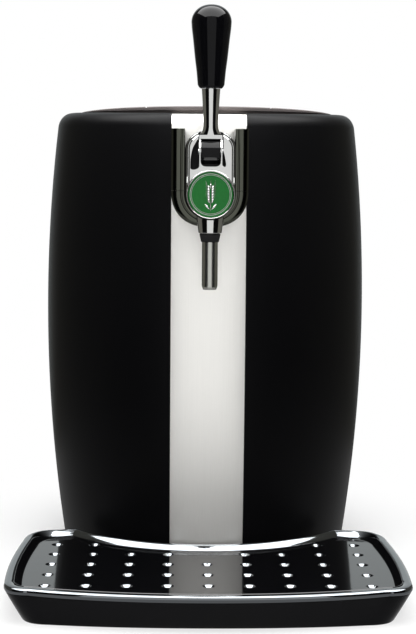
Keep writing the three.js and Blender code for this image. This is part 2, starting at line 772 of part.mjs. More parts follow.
// The tap's front outline: a half circle round the badge, straight sides and a flatter arch on top.
// Points are [x, z]; grow widens it evenly.
function tapOutline(half, grow) {
  const points = [];
  for (let i = 0; i <= archSteps; i += 1) {
    const turn = Math.PI + (i * Math.PI) / archSteps;
    points.push([(half + grow) * Math.cos(turn), badgeZ + (half + grow) * Math.sin(turn)]);
  }
  for (let i = 0; i <= archSteps; i += 1) {
    const turn = (i * Math.PI) / archSteps;
    points.push([(half + grow) * Math.cos(turn), archZ + (archRise + grow) * Math.sin(turn)]);
  }
  return points;
}

// A front outline pushed along Y between two depths
function frontPrism(points, ys) {
  const outline = points.map(([x, z]) => new THREE.Vector2(x, -z));
  return prism(outline.reverse(), [ys[0], ys[1]]).rotateX(-Math.PI / 2);
}

const cheek = { inner: 6.8, outer: 7.9, radius: 9.6 };
const cheekPlay = 0.7;
const pocketHalf = cheek.outer + cheekPlay;
const aboveTap = archZ + archRise + overrun;
const nose = { reach: 11.2, half: 2.4 };
const pinchBar = {
  half: 5.5, front: -181, rear: -164, bottom: lineZ + lineRadius + fit, noseGap: 1, play: 0.3,
};
pinchBar.top = pivotZ - nose.reach - pinchBar.noseGap;
const pinHalf = 14.5;
const lineBend = 9;
const quarterBendShare = 0.5523;
const lineStartY = -84.5;
const lineEndZ = 252;

// The beer line: straight out of the chamber, a quarter bend, then down into the spout
function linePath(extra) {
  const bend = lineBend * quarterBendShare;
  const turnY = spoutY + lineBend;
  const turnZ = lineZ - lineBend;
  const path = new THREE.CurvePath();
  const at = (y, z) => new THREE.Vector3(0, y, z);
  path.add(new THREE.LineCurve3(at(lineStartY + extra, lineZ), at(turnY, lineZ)));
  path.add(new THREE.CubicBezierCurve3(
    at(turnY, lineZ),
    at(turnY - bend, lineZ),
    at(spoutY, turnZ + bend),
    at(spoutY, turnZ),
  ));
  path.add(new THREE.LineCurve3(at(spoutY, turnZ), at(spoutY, lineEndZ - extra)));
  return path;
}

const lineSteps = 44;
const lineHalfSides = 4;
const boreHalfSides = 3;

function lineTube(radius, extra, halfSides = lineHalfSides) {
  const section = new THREE.Shape().absarc(0, 0, radius, 0, 2 * Math.PI);
  return new THREE.ExtrudeGeometry(section, {
    steps: lineSteps,
    extrudePath: linePath(extra),
    curveSegments: halfSides,
    bevelEnabled: false,
  });
}

const lineBore = 1.7;
piece('beer_line', cut(lineTube(lineRadius, 0), lineTube(lineBore, overrun, boreHalfSides)), foam);

// Port that leads the line through the chamber wall, the housing and the strip into the tap
const portBody = cut(
  join(
    rodY(port.radius, [-port.reach, -(chamberRadius - fit * 3 - port.flangeThick / 2)]),
    rodY(port.flange, [-(chamberRadius - fit * 3), -(chamberRadius - fit * 3 - port.flangeThick)]),
  ),
  rodY(lineRadius + fit, [-trayFront, 0], tinySides),
);
piece('line_port', portBody, rubber).position.z = lineZ;

const behindStrip = toSolid(bodySkin(stripInset - fit));

function tapBody() {
  const column = frontPrism(tapOutline(tapHalf, 0), [tapFront, -jacketRadius]);
  const pocket = join(
    block([-pocketHalf, pocketHalf], [tapFront - overrun, pivotY + drumRadius + fit], [pivotZ, aboveTap]),
    rodX(nose.reach + fit, [-pocketHalf, pocketHalf], ringSides).translate(0, pivotY, pivotZ),
    block([-pocketHalf, pocketHalf], [tapFront - overrun, pivotY], [pivotZ - nose.reach, pivotZ]),
  );
  const barRoom = block(
    [-pinchBar.half - pinchBar.play, pinchBar.half + pinchBar.play],
    [pinchBar.front - pinchBar.play, pinchBar.rear + pinchBar.play],
    [pinchBar.bottom - fit, pivotZ],
  );
  const screwBores = Object.values(tapScrewZs).map((z) => (
    rodY(tapScrewRadius + screwPlay, [-tapScrewEnd, 0], tinySides).translate(0, 0, z)
  ));
  return cut(
    column,
    behindStrip,
    pocket,
    barRoom,
    lineTube(lineRadius + fit, overrun),
    rodZ(lineRadius + fit, [0, badgeZ - lineBend], tinySides).translate(0, spoutY, 0),
    rodX(leverPinRadius + pinPlay, [-pinHalf - fit, pinHalf + fit]).translate(0, pivotY, pivotZ),
    rodY(port.radius + fit, [-port.reach - fit, 0]).translate(0, 0, lineZ),
    ...screwBores,
  );
}
piece('tap_body', tapBody(), blackPlastic);

for (const [level, z] of Object.entries(tapScrewZs)) {
  const one = screw(`tap_screw_${level}`, tapScrewRadius, tapScrewHead, tapScrewLength);
  one.rotation.x = Math.PI / 2;
  const seatY = bodyFrontAt(z) - wall - fit - bracket.thick - tapScrewLift;
  one.position.set(0, tapScrewHead.thick - seatY, z);
}

const pinchBlock = block(
  [-pinchBar.half, pinchBar.half],
  [pinchBar.front, pinchBar.rear],
  [pinchBar.bottom, pinchBar.top],
);
piece('pinch_bar', pinchBlock, steel);

// Bezel: an oval frame in front of the body, open round the drum and cut through on top for the lever
const bezel = { half: 16.6, thick: 4, frame: 3, windowBottom: 302, corner: 3 };
const bezelFront = tapFront - fit - bezel.thick;

function bezelShape() {
  const plate = frontPrism(tapOutline(bezel.half, 0), [bezelFront, tapFront - fit]);
  const inner = bezel.half - bezel.frame;
  const through = [bezelFront - overrun, tapFront + overrun];
  const window = common(
    frontPrism(tapOutline(inner, 0), through),
    join(
      block([-inner, inner], through, [bezel.windowBottom + bezel.corner, aboveTap]),
      block([-inner + bezel.corner, inner - bezel.corner], through, [bezel.windowBottom, archZ]),
      ...[-1, 1].map((side) => (
        rodY(bezel.corner, through)
          .translate(side * (inner - bezel.corner), 0, bezel.windowBottom + bezel.corner)
      )),
    ),
  );
  const slot = block([-pocketHalf, pocketHalf], through, [archZ, aboveTap]);
  return cut(plate, window, slot);
}
piece('tap_bezel', bezelShape(), chrome);

// Badge: a bare enamel disc in a chrome ring on the lower half of the bezel
const badge = { ring: 16.6, ringIn: 15.8, disc: 15.5, ringDeep: 4, discDeep: 3, crown: 0.5 };
const badgeRear = bezelFront - fit;
const badgeRing = cut(
  rodY(badge.ring, [-badge.ringDeep, 0], ringSides),
  rodY(badge.ringIn, [-badge.ringDeep - overrun, overrun], ringSides),
);
piece('badge_ring', badgeRing, chrome).position.set(0, badgeRear, badgeZ);
const badgeProfile = [
  [0, 0],
  [badge.disc, 0],
  [badge.disc, badge.discDeep - badge.crown],
  [0, badge.discDeep],
];
const badgeDisc = piece('badge_disc', turned(badgeProfile), greenEnamel);
badgeDisc.position.set(0, badgeRear, badgeZ);
badgeDisc.rotation.x = Math.PI / 2;

// Saddle: a U of dark chrome round the tap body, in two arms and a lower cup
const saddle = { half: 26, cupZ: 285.5, top: 328, splitDrop: 0.5, front: -165, bevel: 1.5 };
saddle.split = saddle.cupZ - saddle.splitDrop;

function saddlePart(zs, xs) {
  const outer = (grow) => {
    const points = [];
    for (let i = 0; i <= archSteps; i += 1) {
      const turn = Math.PI + (i * Math.PI) / archSteps;
      points.push([
        (saddle.half + grow) * Math.cos(turn),
        saddle.cupZ + (saddle.half + grow) * Math.sin(turn),
      ]);
    }
    return [...points, [saddle.half + grow, saddle.top], [-saddle.half - grow, saddle.top]];
  };
  const solid = join(
    frontPrism(outer(0), [saddle.front + saddle.bevel, -jacketRadius]),
    frontPrism(outer(-saddle.bevel), [saddle.front, -jacketRadius]),
  );
  const notch = frontPrism(tapOutline(tapHalf, fit), [saddle.front - overrun, 0]);
  const above = block(
    [-tapHalf - fit, tapHalf + fit],
    [saddle.front - overrun, 0],
    [archZ, saddle.top + overrun],
  );
  return cut(common(solid, block(xs, [-trayFront, 0], zs)), notch, above, behindStrip);
}
const saddleSplit = saddle.split + fit / 2;
piece('saddle_left', saddlePart([saddleSplit, saddle.top + overrun], [-wide, 0]), darkChrome);
piece('saddle_right', saddlePart([saddleSplit, saddle.top + overrun], [0, wide]), darkChrome);
piece('saddle_cup', saddlePart([0, saddle.split - fit / 2], everywhere), darkChrome);

// Spout: collar, cone seal and tube under the tap body
const collar = { top: 9.25, bottom: 8.05, topZ: 265.9, bottomZ: 256.3, bore: 3.6, tuck: 3.6 };
const collarUp = badgeZ - badge.ring + collar.tuck;
const spoutSides = 24;
const cone = { top: 7.25, bottom: 5.7, bottomZ: 250.4, bore: 5.8, boreTopZ: 254 };
const tube = { radius: 5.5, bore: 4, bottomZ: 217.5, topZ: 253.7, lip: 0.5 };
const collarProfile = [
  [collar.bore, collar.bottomZ],
  [collar.bottom, collar.bottomZ],
  [collar.top, collar.topZ],
  [collar.top, collarUp],
  [collar.bore, collarUp],
  [collar.bore, collar.bottomZ],
];
const collarRoom = frontPrism(tapOutline(tapHalf, fit), [-trayFront, 0]);
const collarSolid = cut(turned(collarProfile, spoutSides).translate(0, spoutY, 0), collarRoom);
piece('spout_collar', collarSolid, chrome);

const coneTop = collar.bottomZ - fit;
const coneProfile = [
  [cone.bore, cone.bottomZ],
  [cone.bore + fit, cone.bottomZ],
  [cone.top, coneTop],
  [collar.bore, coneTop],
  [collar.bore, cone.boreTopZ],
  [cone.bore, cone.boreTopZ],
  [cone.bore, cone.bottomZ],
];
piece('spout_seal', turned(coneProfile, spoutSides), rubber).position.y = spoutY;

const tubeProfile = [
  [tube.bore, tube.bottomZ],
  [tube.radius - tube.lip, tube.bottomZ],
  [tube.radius, tube.bottomZ + tube.lip],
  [tube.radius, tube.topZ],
  [tube.bore, tube.topZ],
  [tube.bore, tube.bottomZ],
];
piece('spout_tube', turned(tubeProfile, spoutSides), steel).position.y = spoutY;

// Lever, built round its pivot: black drum with a cam nose, chrome fork and stem, black grip
const lever = new THREE.Group();
lever.position.set(0, pivotY, pivotZ);
machine.add(lever);

const leverSides = 18;
const gripSides = 20;
const pinHole = rodX(leverPinRadius + pinPlay, [-wide, wide]);
const drum = join(
  rodX(drumRadius, [-drumHalf, drumHalf], leverSides),
  block([-drumHalf, drumHalf], [-nose.half, nose.half], [-nose.reach, 0]),
);
piece('lever_hub', cut(drum, pinHole), glossBlack, lever);
piece('lever_pin', rodX(leverPinRadius, [-pinHalf, pinHalf]), steel, lever);

const stem = {
  plateZ: 11, plateTop: 13, half: 5.5, foot: 7.5, neck: 5.15, neckZ: 18.5, top: 6.45, topZ: 42.7,
  tang: 3.5, tangZ: 66,
};
const gripPlay = 0.3;

function leverStem() {
  const cheeks = [-1, 1].flatMap((side) => {
    const xs = side < 0 ? [-cheek.outer, -cheek.inner] : [cheek.inner, cheek.outer];
    return [rodX(cheek.radius, xs, leverSides), block(xs, [-stem.half, stem.half], [0, stem.plateTop])];
  });
  const plate = block([-cheek.outer, cheek.outer], [-stem.half, stem.half], [drumRadius, stem.plateTop]);
  const shaft = turned([
    [0, stem.plateZ],
    [stem.foot, stem.plateZ],
    [stem.foot, stem.plateTop],
    [(stem.foot + stem.neck) / 2 - gripPlay, (stem.plateTop + stem.neckZ) / 2 - gripPlay],
    [stem.neck, stem.neckZ],
    [stem.top, stem.topZ],
    [stem.tang, stem.topZ],
    [stem.tang, stem.tangZ],
    [0, stem.tangZ],
  ], leverSides);
  const drumRoom = rodX(drumRadius + fit, [-cheek.inner, cheek.inner], leverSides);
  return cut(join(plate, ...cheeks, shaft), drumRoom, pinHole);
}
piece('lever_stem', leverStem(), chrome, lever);

// The grip's outline from its lower end up: a chamfer, a long swell and a flat dome
const grip = {
  bottomZ: 43, bottom: 7.4, chamferZ: 45.5, chamfer: 9.2, riseZ: 55.4, rise: 10.15,
  waistZ: 63.5, waist: 11.2, swellZ: 75.6, swell: 12.5, widestZ: 87.7, widest: 13.75, domeZ: 99.6,
};
const domeShares = [[0.96, 0.4], [0.84, 0.66], [0.62, 0.87], [0.33, 0.97]];
const gripProfile = [
  [stem.tang + gripPlay, grip.bottomZ],
  [grip.bottom, grip.bottomZ],
  [grip.chamfer, grip.chamferZ],
  [grip.rise, grip.riseZ],
  [grip.waist, grip.waistZ],
  [grip.swell, grip.swellZ],
  [grip.widest, grip.widestZ],
  ...domeShares.map(([across, up]) => (
    [grip.widest * across, grip.widestZ + (grip.domeZ - grip.widestZ) * up]
  )),
  [0, grip.domeZ],
  [0, stem.tangZ + gripPlay],
  [stem.tang + gripPlay, stem.tangZ + gripPlay],
  [stem.tang + gripPlay, grip.bottomZ],
];
piece('lever_grip', turned(gripProfile, gripSides), glossBlack, lever);

// Drip tray. Its plan: a bowed front, bulging sides, and two ears round a hollow that takes the housing.
const tray = {
  cornerHalf: 137.3, rearHalf: 136, cornerY: -247, bulgeY: -176, sideFrontY: -236, sideRearY: -112,
  frontCut: 11, rearCornerY: -85, earCut: 24, tipY: -81.8, earDrop: 3, wall: 2.5, floor: 2.5,
  ledgeIn: 15.5, ledgeBottom: 15.5, ledgeTop: 18.3,
};
const earShare = 0.65;
const traySteps = { front: 14, corner: 5, side: 8, hollow: 20 };

// One half of the outline, from the middle of the front to the middle of the hollow, drawn in by an inset
function trayOutline(inset) {
  const at = (x, y) => new THREE.Vector2(x, y);
  const half = trayHalf - inset;
  const corner = tray.cornerHalf - inset;
  const rear = tray.rearHalf - inset;
  const frontY = -trayFront + inset;
  const bend = Math.max(tray.frontCut - inset / 2, tray.frontCut / 3);
  const cornerY = tray.cornerY + inset;
  const frontEnd = at(corner - bend, cornerY - 2 * fit);
  const sideStart = at(corner, tray.sideFrontY + inset / 2);
  const sideMid = at(2 * half - (corner + rear) / 2, tray.bulgeY);
  const sideEnd = at(rear, tray.sideRearY - inset / 2);
  const earWide = Math.max(tray.earCut - inset * earShare, tray.wall);
  const earStart = at(rear - earWide, tray.tipY - tray.earDrop - inset);
  const radius = trayArc + inset;
  const tipAngle = Math.asin((Math.abs(tray.tipY) + inset) / radius);
  const curve = (start, middle, end, steps) => (
    new THREE.QuadraticBezierCurve(start, middle, end).getPoints(steps).slice(0, steps)
  );
  const points = [
    ...curve(at(0, frontY), at(corner / 2, frontY), frontEnd, traySteps.front / 2),
    ...curve(frontEnd, at(corner, cornerY + fit), sideStart, traySteps.corner),
    ...curve(sideStart, sideMid, sideEnd, traySteps.side),
    ...curve(sideEnd, at(rear, tray.rearCornerY - inset), earStart, traySteps.corner),
    earStart,
  ];
  for (let i = 0; i <= traySteps.hollow / 2; i += 1) {
    const turn = tipAngle + ((Math.PI / 2 - tipAngle) * i * 2) / traySteps.hollow;
    points.push(at(radius * Math.cos(turn), -radius * Math.sin(turn)));
  }
  const mirrored = points.slice(1, -1).reverse().map((point) => at(-point.x, point.y));
  return [...points, ...mirrored];
}

const grille = {
  bottomIn: 11.9, plateIn: 11.3, edgeIn: 6.3, lipIn: 7.1, bottom: 18.6, shoulder: 22.4, top: 24.8,
  rise: 2.6, hole: 4.3,
};
const trayLevel = (inset, z) => atHeight(trayOutline(inset), z);
const trayLip = 0.8;
const tongue = { half: 42, rear: -85, front: -143, bottom: 0.8 };

function dripTray() {
  const outside = loft([trayLevel(trayTaper, 0), trayLevel(trayLip, trayTop)]);
  const lean = (trayTaper - trayLip) / trayTop;
  const insideAt = (z) => trayTaper - lean * z + tray.wall;
  const basin = loft([
    trayLevel(insideAt(tray.floor), tray.floor),
    trayLevel(insideAt(tray.ledgeBottom), tray.ledgeBottom),
  ]);
  const mouth = prism(trayOutline(tray.ledgeIn), [tray.ledgeBottom - fit / 2, tray.ledgeTop + fit]);
  const seat = loft([
    trayLevel(grille.bottomIn - fit, tray.ledgeTop),
    trayLevel(rimWide, tray.ledgeTop + grille.rise),
    trayLevel(rimWide, rimTop),
  ]);
  const tongueBlock = block(
    [-tongue.half, tongue.half],
    [tongue.front, tongue.rear],
    [tongue.bottom, bodyBottom - fit],
  );
  return join(cut(outside, basin, mouth, seat), tongueBlock);
}

piece('drip_tray', dripTray(), glossBlack);

const rimTuck = 0.6;

function trayRim() {
  const outside = loft([
    trayLevel(rimTuck, trayTop + fit),
    trayLevel(0, trayTop + 4 * fit),
    trayLevel(0, rimTop - 4 * fit),
    trayLevel(4 * fit, rimTop),
  ]);
  return cut(outside, prism(trayOutline(rimWide), [0, rimTop + overrun]));
}
piece('tray_rim', trayRim(), chrome);

// Drain holes: nine columns and five rows, without those under the glass and past the hollow
const holePitch = { x: 27.6, y: 27.73 };
const holeFirstY = -225.2;
const holeSides = 8;
const holeColumns = [-4, -3, -2, -1, 0, 1, 2, 3, 4];
const holeRows = [
  holeColumns,
  holeColumns,
  holeColumns,
  holeColumns.filter((column) => column !== 0),
  [-4, -3, 3, 4],
];

function dripGrille() {
  const dish = loft([
    trayLevel(grille.bottomIn, grille.bottom),
    trayLevel(grille.edgeIn, grille.shoulder),
    trayLevel(grille.edgeIn, grille.top),
  ]);
  const hollow = loft([
    trayLevel(grille.plateIn, plateTop),
    trayLevel(grille.lipIn, grille.top),
    trayLevel(grille.lipIn, grille.top + overrun),
  ]);
  const holes = holeRows.flatMap((columns, row) => columns.map((column) => (
    rodZ(grille.hole, [0, rimTop], holeSides)
      .translate(column * holePitch.x, holeFirstY + row * holePitch.y, 0)
  )));
  return cut(dish, hollow, ...holes);
}
piece('drip_grille', dripGrille(), glossBlack);

export default dispenser;
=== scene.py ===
# %% [markdown]
# # A mini keg beer dispenser, dressed piece by piece
# The machine is a barrel-shaped black housing that keeps a five litre keg cold. A tap with a tall
# handle stands on its steel front strip, and a wide drip tray catches the drops. The solids of the
# machine come in as a fixed frame, and every visible piece is made again on top of them with finer
# surfaces and real finishes.

# %% Load the frame
import json
import math

import bmesh
import bpy
import numpy as np
from mathutils import Matrix, Vector


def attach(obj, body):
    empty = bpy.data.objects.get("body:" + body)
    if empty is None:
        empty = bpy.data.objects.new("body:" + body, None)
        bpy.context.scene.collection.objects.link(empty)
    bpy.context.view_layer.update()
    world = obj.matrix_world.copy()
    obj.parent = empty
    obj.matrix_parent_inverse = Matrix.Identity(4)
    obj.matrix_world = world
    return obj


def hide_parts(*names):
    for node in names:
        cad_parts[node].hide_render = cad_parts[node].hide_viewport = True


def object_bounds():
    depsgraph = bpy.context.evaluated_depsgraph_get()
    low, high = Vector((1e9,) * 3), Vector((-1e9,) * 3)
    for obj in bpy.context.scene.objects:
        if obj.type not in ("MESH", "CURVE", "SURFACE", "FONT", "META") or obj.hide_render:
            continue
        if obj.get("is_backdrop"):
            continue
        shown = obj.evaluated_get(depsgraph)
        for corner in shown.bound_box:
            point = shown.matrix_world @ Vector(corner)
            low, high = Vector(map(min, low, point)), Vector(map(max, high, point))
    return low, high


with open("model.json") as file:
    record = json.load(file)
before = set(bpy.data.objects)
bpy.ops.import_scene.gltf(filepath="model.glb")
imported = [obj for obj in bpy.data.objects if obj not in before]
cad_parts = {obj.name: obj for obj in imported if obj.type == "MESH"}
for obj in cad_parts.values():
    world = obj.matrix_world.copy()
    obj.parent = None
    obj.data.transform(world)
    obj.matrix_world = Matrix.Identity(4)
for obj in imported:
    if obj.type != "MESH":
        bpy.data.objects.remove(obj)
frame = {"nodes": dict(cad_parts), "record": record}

cad_low, cad_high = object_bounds()


def metres(corner):
    return tuple(round(v, 4) for v in corner)


print("solids reach from", metres(cad_low), "to", metres(cad_high))

# %% [markdown]
# ## Camera
# The view is from the front, a little above the tray, through a long lens that leans slightly to
# one side. A camera could be moved by eye until the view looks right. Here it is set from measures:
# the rows of drain holes and the curve of the housing's top give a lens of about 87 mm, 1.24 m in
# front of the keg's axis.

# %% Place the camera
camera_lens, sensor_wide = 87.3, 36
camera_place = (-0.0216, -1.1894, 0.3064)
camera_turn, camera_pitch, camera_roll = (math.radians(angle) for angle in (-1.12, 5.83, 0.45))
camera_data = bpy.data.cameras.new("front_camera")
camera_data.lens, camera_data.sensor_width = camera_lens, sensor_wide
camera = bpy.data.objects.new("front_camera", camera_data)
bpy.context.scene.collection.objects.link(camera)
camera.location = camera_place
camera.rotation_mode = "QUATERNION"
looking = Vector((math.sin(-camera_turn) * math.cos(camera_pitch),
                  math.cos(camera_turn) * math.cos(camera_pitch),
                  -math.sin(camera_pitch)))
level = looking.to_track_quat("-Z", "Y")
camera.rotation_quaternion = level @ Matrix.Rotation(camera_roll, 3, "Z").to_quaternion()
bpy.context.scene.camera = camera
bpy.context.scene.view_settings.view_transform = "Standard"
print("camera looks along", tuple(round(v, 3) for v in looking))

# %% [markdown]
# ## Writing node trees as sums
# A finish is a tree of nodes. It could be wired by hand, node by node, but then a simple sum takes
# three lines. So a wire is a small class of its own: adding or multiplying wires adds the Math
# nodes, and every other node comes from one method.

# %% Wires and sketches
class Wire:
    """An output of a node. Sums and products of wires and numbers add their Math nodes."""

    def __init__(self, sketch, socket):
        self.sketch, self.socket = sketch, socket

    def _math(self, how, other):
        return self.sketch.node("ShaderNodeMath", {"operation": how}, {0: self, 1: other})

    def __add__(self, other):
        return self._math("ADD", other)

    def __mul__(self, other):
        return self._math("MULTIPLY", other)

    __radd__, __rmul__ = __add__, __mul__

    def largest(self, other):
        return self._math("MAXIMUM", other)


class Sketch:
    """A node tree that a finish is drawn in."""

    def __init__(self, tree):
        self.tree = tree
        tree.nodes.clear()

    def node(self, kind, settings=None, sockets=None, output=0):
        made = self.tree.nodes.new(kind)
        for name, value in (settings or {}).items():
            setattr(made, name, value)
        for name, value in (sockets or {}).items():
            if isinstance(value, Wire):
                self.tree.links.new(value.socket, made.inputs[name])
            else:
                made.inputs[name].default_value = value
        return Wire(self, made.outputs[output]) if len(made.outputs) else made

    def mix(self, share, first, second):
        """Two colours mixed. A Math node would turn them grey."""
        return self.node("ShaderNodeMix", {"data_type": "RGBA"}, {0: share, 6: first, 7: second}, output=2)

    def place(self):
        return self.node("ShaderNodeTexCoord", output="Object")

    def stretched(self, scale):
        return self.node("ShaderNodeVectorMath", {"operation": "MULTIPLY"}, {0: self.place(), 1: scale})

    def noise(self, where, scale, detail=2.0, rough=0.5):
        return self.node("ShaderNodeTexNoise", sockets={
            "Vector": where, "Scale": scale, "Detail": detail, "Roughness": rough}, output="Fac")

    def seen_direct(self):
        """1 for rays from the camera, off mirrors and through clear things, 0 for rays of light."""
        rays = [self.node("ShaderNodeLightPath", output=name)
                for name in ("Is Camera Ray", "Is Glossy Ray", "Is Transmission Ray")]
        return rays[0].largest(rays[1]).largest(rays[2])


print("a wire knows", [name for name in ("__add__", "__mul__") if hasattr(Wire, name)])

# %% [markdown]
# ## Background
# The machine stands before plain white. A white wall would need a lot of light, which would also
# bleach the machine. So the world has two strengths: white for the rays that look at it, and a
# weaker fill for the rays that light the machine.

# %% White world
white, shown_strength, fill_strength = (1, 1, 1, 1), 1.0, 0.55
world = bpy.data.worlds.new("studio_white")
bpy.context.scene.world = world
world.use_nodes = True
sky = Sketch(world.node_tree)
soft_fill = sky.node("ShaderNodeBackground", sockets={"Color": white, "Strength": fill_strength})
plain_white = sky.node("ShaderNodeBackground", sockets={"Color": white, "Strength": shown_strength})
either = sky.node("ShaderNodeMixShader", sockets={0: sky.seen_direct(), 1: soft_fill, 2: plain_white})
sky.node("ShaderNodeOutputWorld", sockets={"Surface": either})
print("the world gives", fill_strength, "of fill and shows as white")

# %% [markdown]
# ## Floor
# Close to the machine the floor is a matt surface that takes its shadow. A floor that is matt all
# over would end in a grey horizon, so further out it turns into the same even white as the world.
# The white glow already fades in from 5 cm out, so it also paints light over much of that shadow.
# The white part shines only for rays that look at it and adds no light to the machine.

# %% Floor
def plain_object(name, points, faces):
    mesh = bpy.data.meshes.new(name)
    mesh.from_pydata(points, [], faces)
    made = bpy.data.objects.new(name, mesh)
    bpy.context.scene.collection.objects.link(made)
    return made


def level_sheet(name, xs, ys, z):
    corners = [(xs[0], ys[0], z), (xs[1], ys[0], z), (xs[1], ys[1], z), (xs[0], ys[1], z)]
    return plain_object(name, corners, [(0, 1, 2, 3)])


floor_half, floor_grey, glow_starts, glow_full = 12.0, (0.84, 0.84, 0.84, 1), 0.05, 0.32
floor = level_sheet("floor", (-floor_half, floor_half), (-floor_half, floor_half), 0)
floor_finish = bpy.data.materials.new("white_floor")
floor_finish.use_nodes = True
ground = Sketch(floor_finish.node_tree)
matt = ground.node("ShaderNodeBsdfDiffuse", sockets={"Color": floor_grey})
glow = ground.node("ShaderNodeEmission", sockets={"Color": white, "Strength": shown_strength})
way_out = ground.node("ShaderNodeVectorMath", {"operation": "LENGTH"}, {0: ground.place()}, output="Value")
# Painted light: the glow fades in from 5 cm to 32 cm out, so it lightens the machine's shadow on the floor
far_away = ground.node("ShaderNodeMapRange", {"interpolation_type": "SMOOTHSTEP"}, {
    "Value": way_out, "From Min": glow_starts, "From Max": glow_full})
share = far_away * ground.seen_direct()
blend_out = ground.node("ShaderNodeMixShader", sockets={0: share, 1: matt, 2: glow})
ground.node("ShaderNodeOutputMaterial", sockets={"Surface": blend_out})
floor.data.materials.append(floor_finish)
floor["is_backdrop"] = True
print("floor", 2 * floor_half, "m wide, white from", glow_full, "m out")

# %% [markdown]
# ## Lamps
# A wide soft lamp hangs over the machine and two weaker ones stand left and right. They light the
# matt surfaces only: a bright square would show as a hard spot on the handle, so mirrors don't see
# the lamps and get cards of their own instead.

# %% Lamps
lamp_aim = (0, 0, 0.2)


def soft_lamp(name, place, wide, high, watts):
    data = bpy.data.lights.new(name, "AREA")
    data.shape, data.size, data.size_y, data.energy = "RECTANGLE", wide, high, watts
    lamp = bpy.data.objects.new(name, data)
    bpy.context.scene.collection.objects.link(lamp)
    lamp.location = place
    lamp.rotation_mode = "QUATERNION"
    lamp.rotation_quaternion = (Vector(lamp_aim) - Vector(place)).to_track_quat("-Z", "Y")
    lamp.visible_glossy = False
    return lamp


lamps = [soft_lamp("top_lamp", (0, -0.15, 1.5), 1.3, 1.0, 26),
         soft_lamp("left_lamp", (-1.5, -1.1, 0.9), 0.8, 1.2, 10),
         soft_lamp("right_lamp", (1.5, -1.1, 0.9), 0.8, 1.2, 10)]
print(len(lamps), "lamps of", sum(lamp.data.energy for lamp in lamps), "W")

# %% [markdown]
# ## Cards for the mirrors
# Chrome only looks like chrome when it has something dark to mirror. Dark boards could stand in the
# scene, but they would also throw shadows. So these cards are seen in mirrors and nowhere else:
# black ones at both sides of the camera, olive grey ones beside the machine, pale ones behind it,
# a shaded one on the ground close to it, and a bright one above for the cap on the handle's dome.

# %% A card
cards = []


def card_finish(name, colour, strength):
    made = bpy.data.materials.new(name)
    made.use_nodes = True
    tree = Sketch(made.node_tree)
    shine = tree.node("ShaderNodeEmission", sockets={"Color": (*colour, 1), "Strength": strength})
    tree.node("ShaderNodeOutputMaterial", sockets={"Surface": shine})
    return made


def only_in_mirrors(card, material):
    card.data.materials.append(material)
    card.visible_camera = card.visible_diffuse = card.visible_shadow = False
    card.visible_transmission = False
    card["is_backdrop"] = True
    cards.append(card)


def round_card(name, turns, near, far, material, steps=36):
    """A card between two bearings, 0 being straight in front, and between two circles round the
    machine, each given as (radius, height)."""
    turns = np.radians(np.linspace(*turns, steps + 1))
    points = [(radius * math.sin(t), -radius * math.cos(t), z) for radius, z in (near, far) for t in turns]
    faces = [(i, i + 1, i + steps + 2, i + steps + 1) for i in range(steps)]
    only_in_mirrors(plain_object(name, points, faces), material)


print("cards can be cut")

# %% All cards
card_low, card_high, card_middle, card_near, card_far = 0.0005, 2.6, 0.01, 0.42, 2.2
black_card = card_finish("black_card", (1, 1, 1), 0.004)
grey_card = card_finish("grey_card", (1.0, 0.98, 0.86), 0.16)
back_card = card_finish("back_card", (0.93, 0.99, 1.0), 0.78)
shade_card = card_finish("shade_card", (1, 1, 1), 0.45)
sheen_card = card_finish("sheen_card", (1, 1, 1), 8.5)


def wall_and_ground(wall, ground, turns, material):
    round_card(wall, turns, (card_far, card_low), (card_far, card_high), material)
    round_card(ground, turns, (card_near, card_low), (card_far, card_low), material)


for side, name in ((-1, "left"), (1, "right")):
    for turns, tone, material in (((25, 72), "black", black_card), ((72, 150), "grey", grey_card)):
        wall_and_ground(f"{tone}_wall_{name}", f"{tone}_ground_{name}", [side * t for t in turns], material)
wall_and_ground("back_wall", "back_ground", (150, 210), back_card)
round_card("near_ground", (-180, 180), (card_middle, card_low), (card_near, card_low), shade_card)
sheen_half, sheen_ys, sheen_z = 1.4, (-1.75, 0.6), 1.52
only_in_mirrors(level_sheet("overhead_sheen", (-sheen_half, sheen_half), sheen_ys, sheen_z), sheen_card)
print(len(cards), "cards, seen in mirrors only")

# %% [markdown]
# ## Finishes
# No real surface has one flat tone. Pictures could be laid on the pieces, but they need unwrapping
# and blur close up. Each finish is instead a small node tree on the same base, a colour, a
# roughness and a fine relief, whose patterns are worked out in metres on the object. Most surfaces
# change in clouds, where hands or the mould have polished them, and have an even grain.

# %% A maker for finishes
finishes = {}


def finish(name, colour, ink, relief, roughness=0.5, metallic=0.0, specular=0.5):
    """ink makes the colour and, mostly, the roughness; relief gives a height and its metres."""
    made = bpy.data.materials.new(name)
    made.use_nodes = True
    tree = Sketch(made.node_tree)
    height, deep = relief(tree)
    bump = tree.node("ShaderNodeBump", sockets={"Strength": 1.0, "Distance": deep, "Height": height})
    surface = tree.node("ShaderNodeBsdfPrincipled", sockets={
        "Roughness": roughness, "Metallic": metallic, "Specular IOR Level": specular,
        **ink(tree, colour), "Normal": bump})
    tree.node("ShaderNodeOutputMaterial", sockets={"Surface": surface})
    finishes[name] = made


def tint(tree, share, colour, spread):
    """Two shades of a colour, a little darker and a little lighter, mixed by a share."""
    dark = (*[c * (1 - spread) for c in colour], 1)
    light = (*[min(1, c * (1 + spread)) for c in colour], 1)
    return tree.mix(share, dark, light)


def cloudy(spread, clouds, low_rough, cloud_rough, pores=None, pore_rough=0.0):
    """Ink whose shade and roughness change in clouds; clouds and pores give a noise's scale, in
    waves to the metre, and its detail."""
    def ink(tree, colour):
        cloud = tree.noise(tree.place(), *clouds)
        rough = cloud * cloud_rough
        if pores:
            rough = rough + tree.noise(tree.place(), *pores) * pore_rough
        return {"Base Color": tint(tree, cloud, colour, spread), "Roughness": rough + low_rough}
    return ink


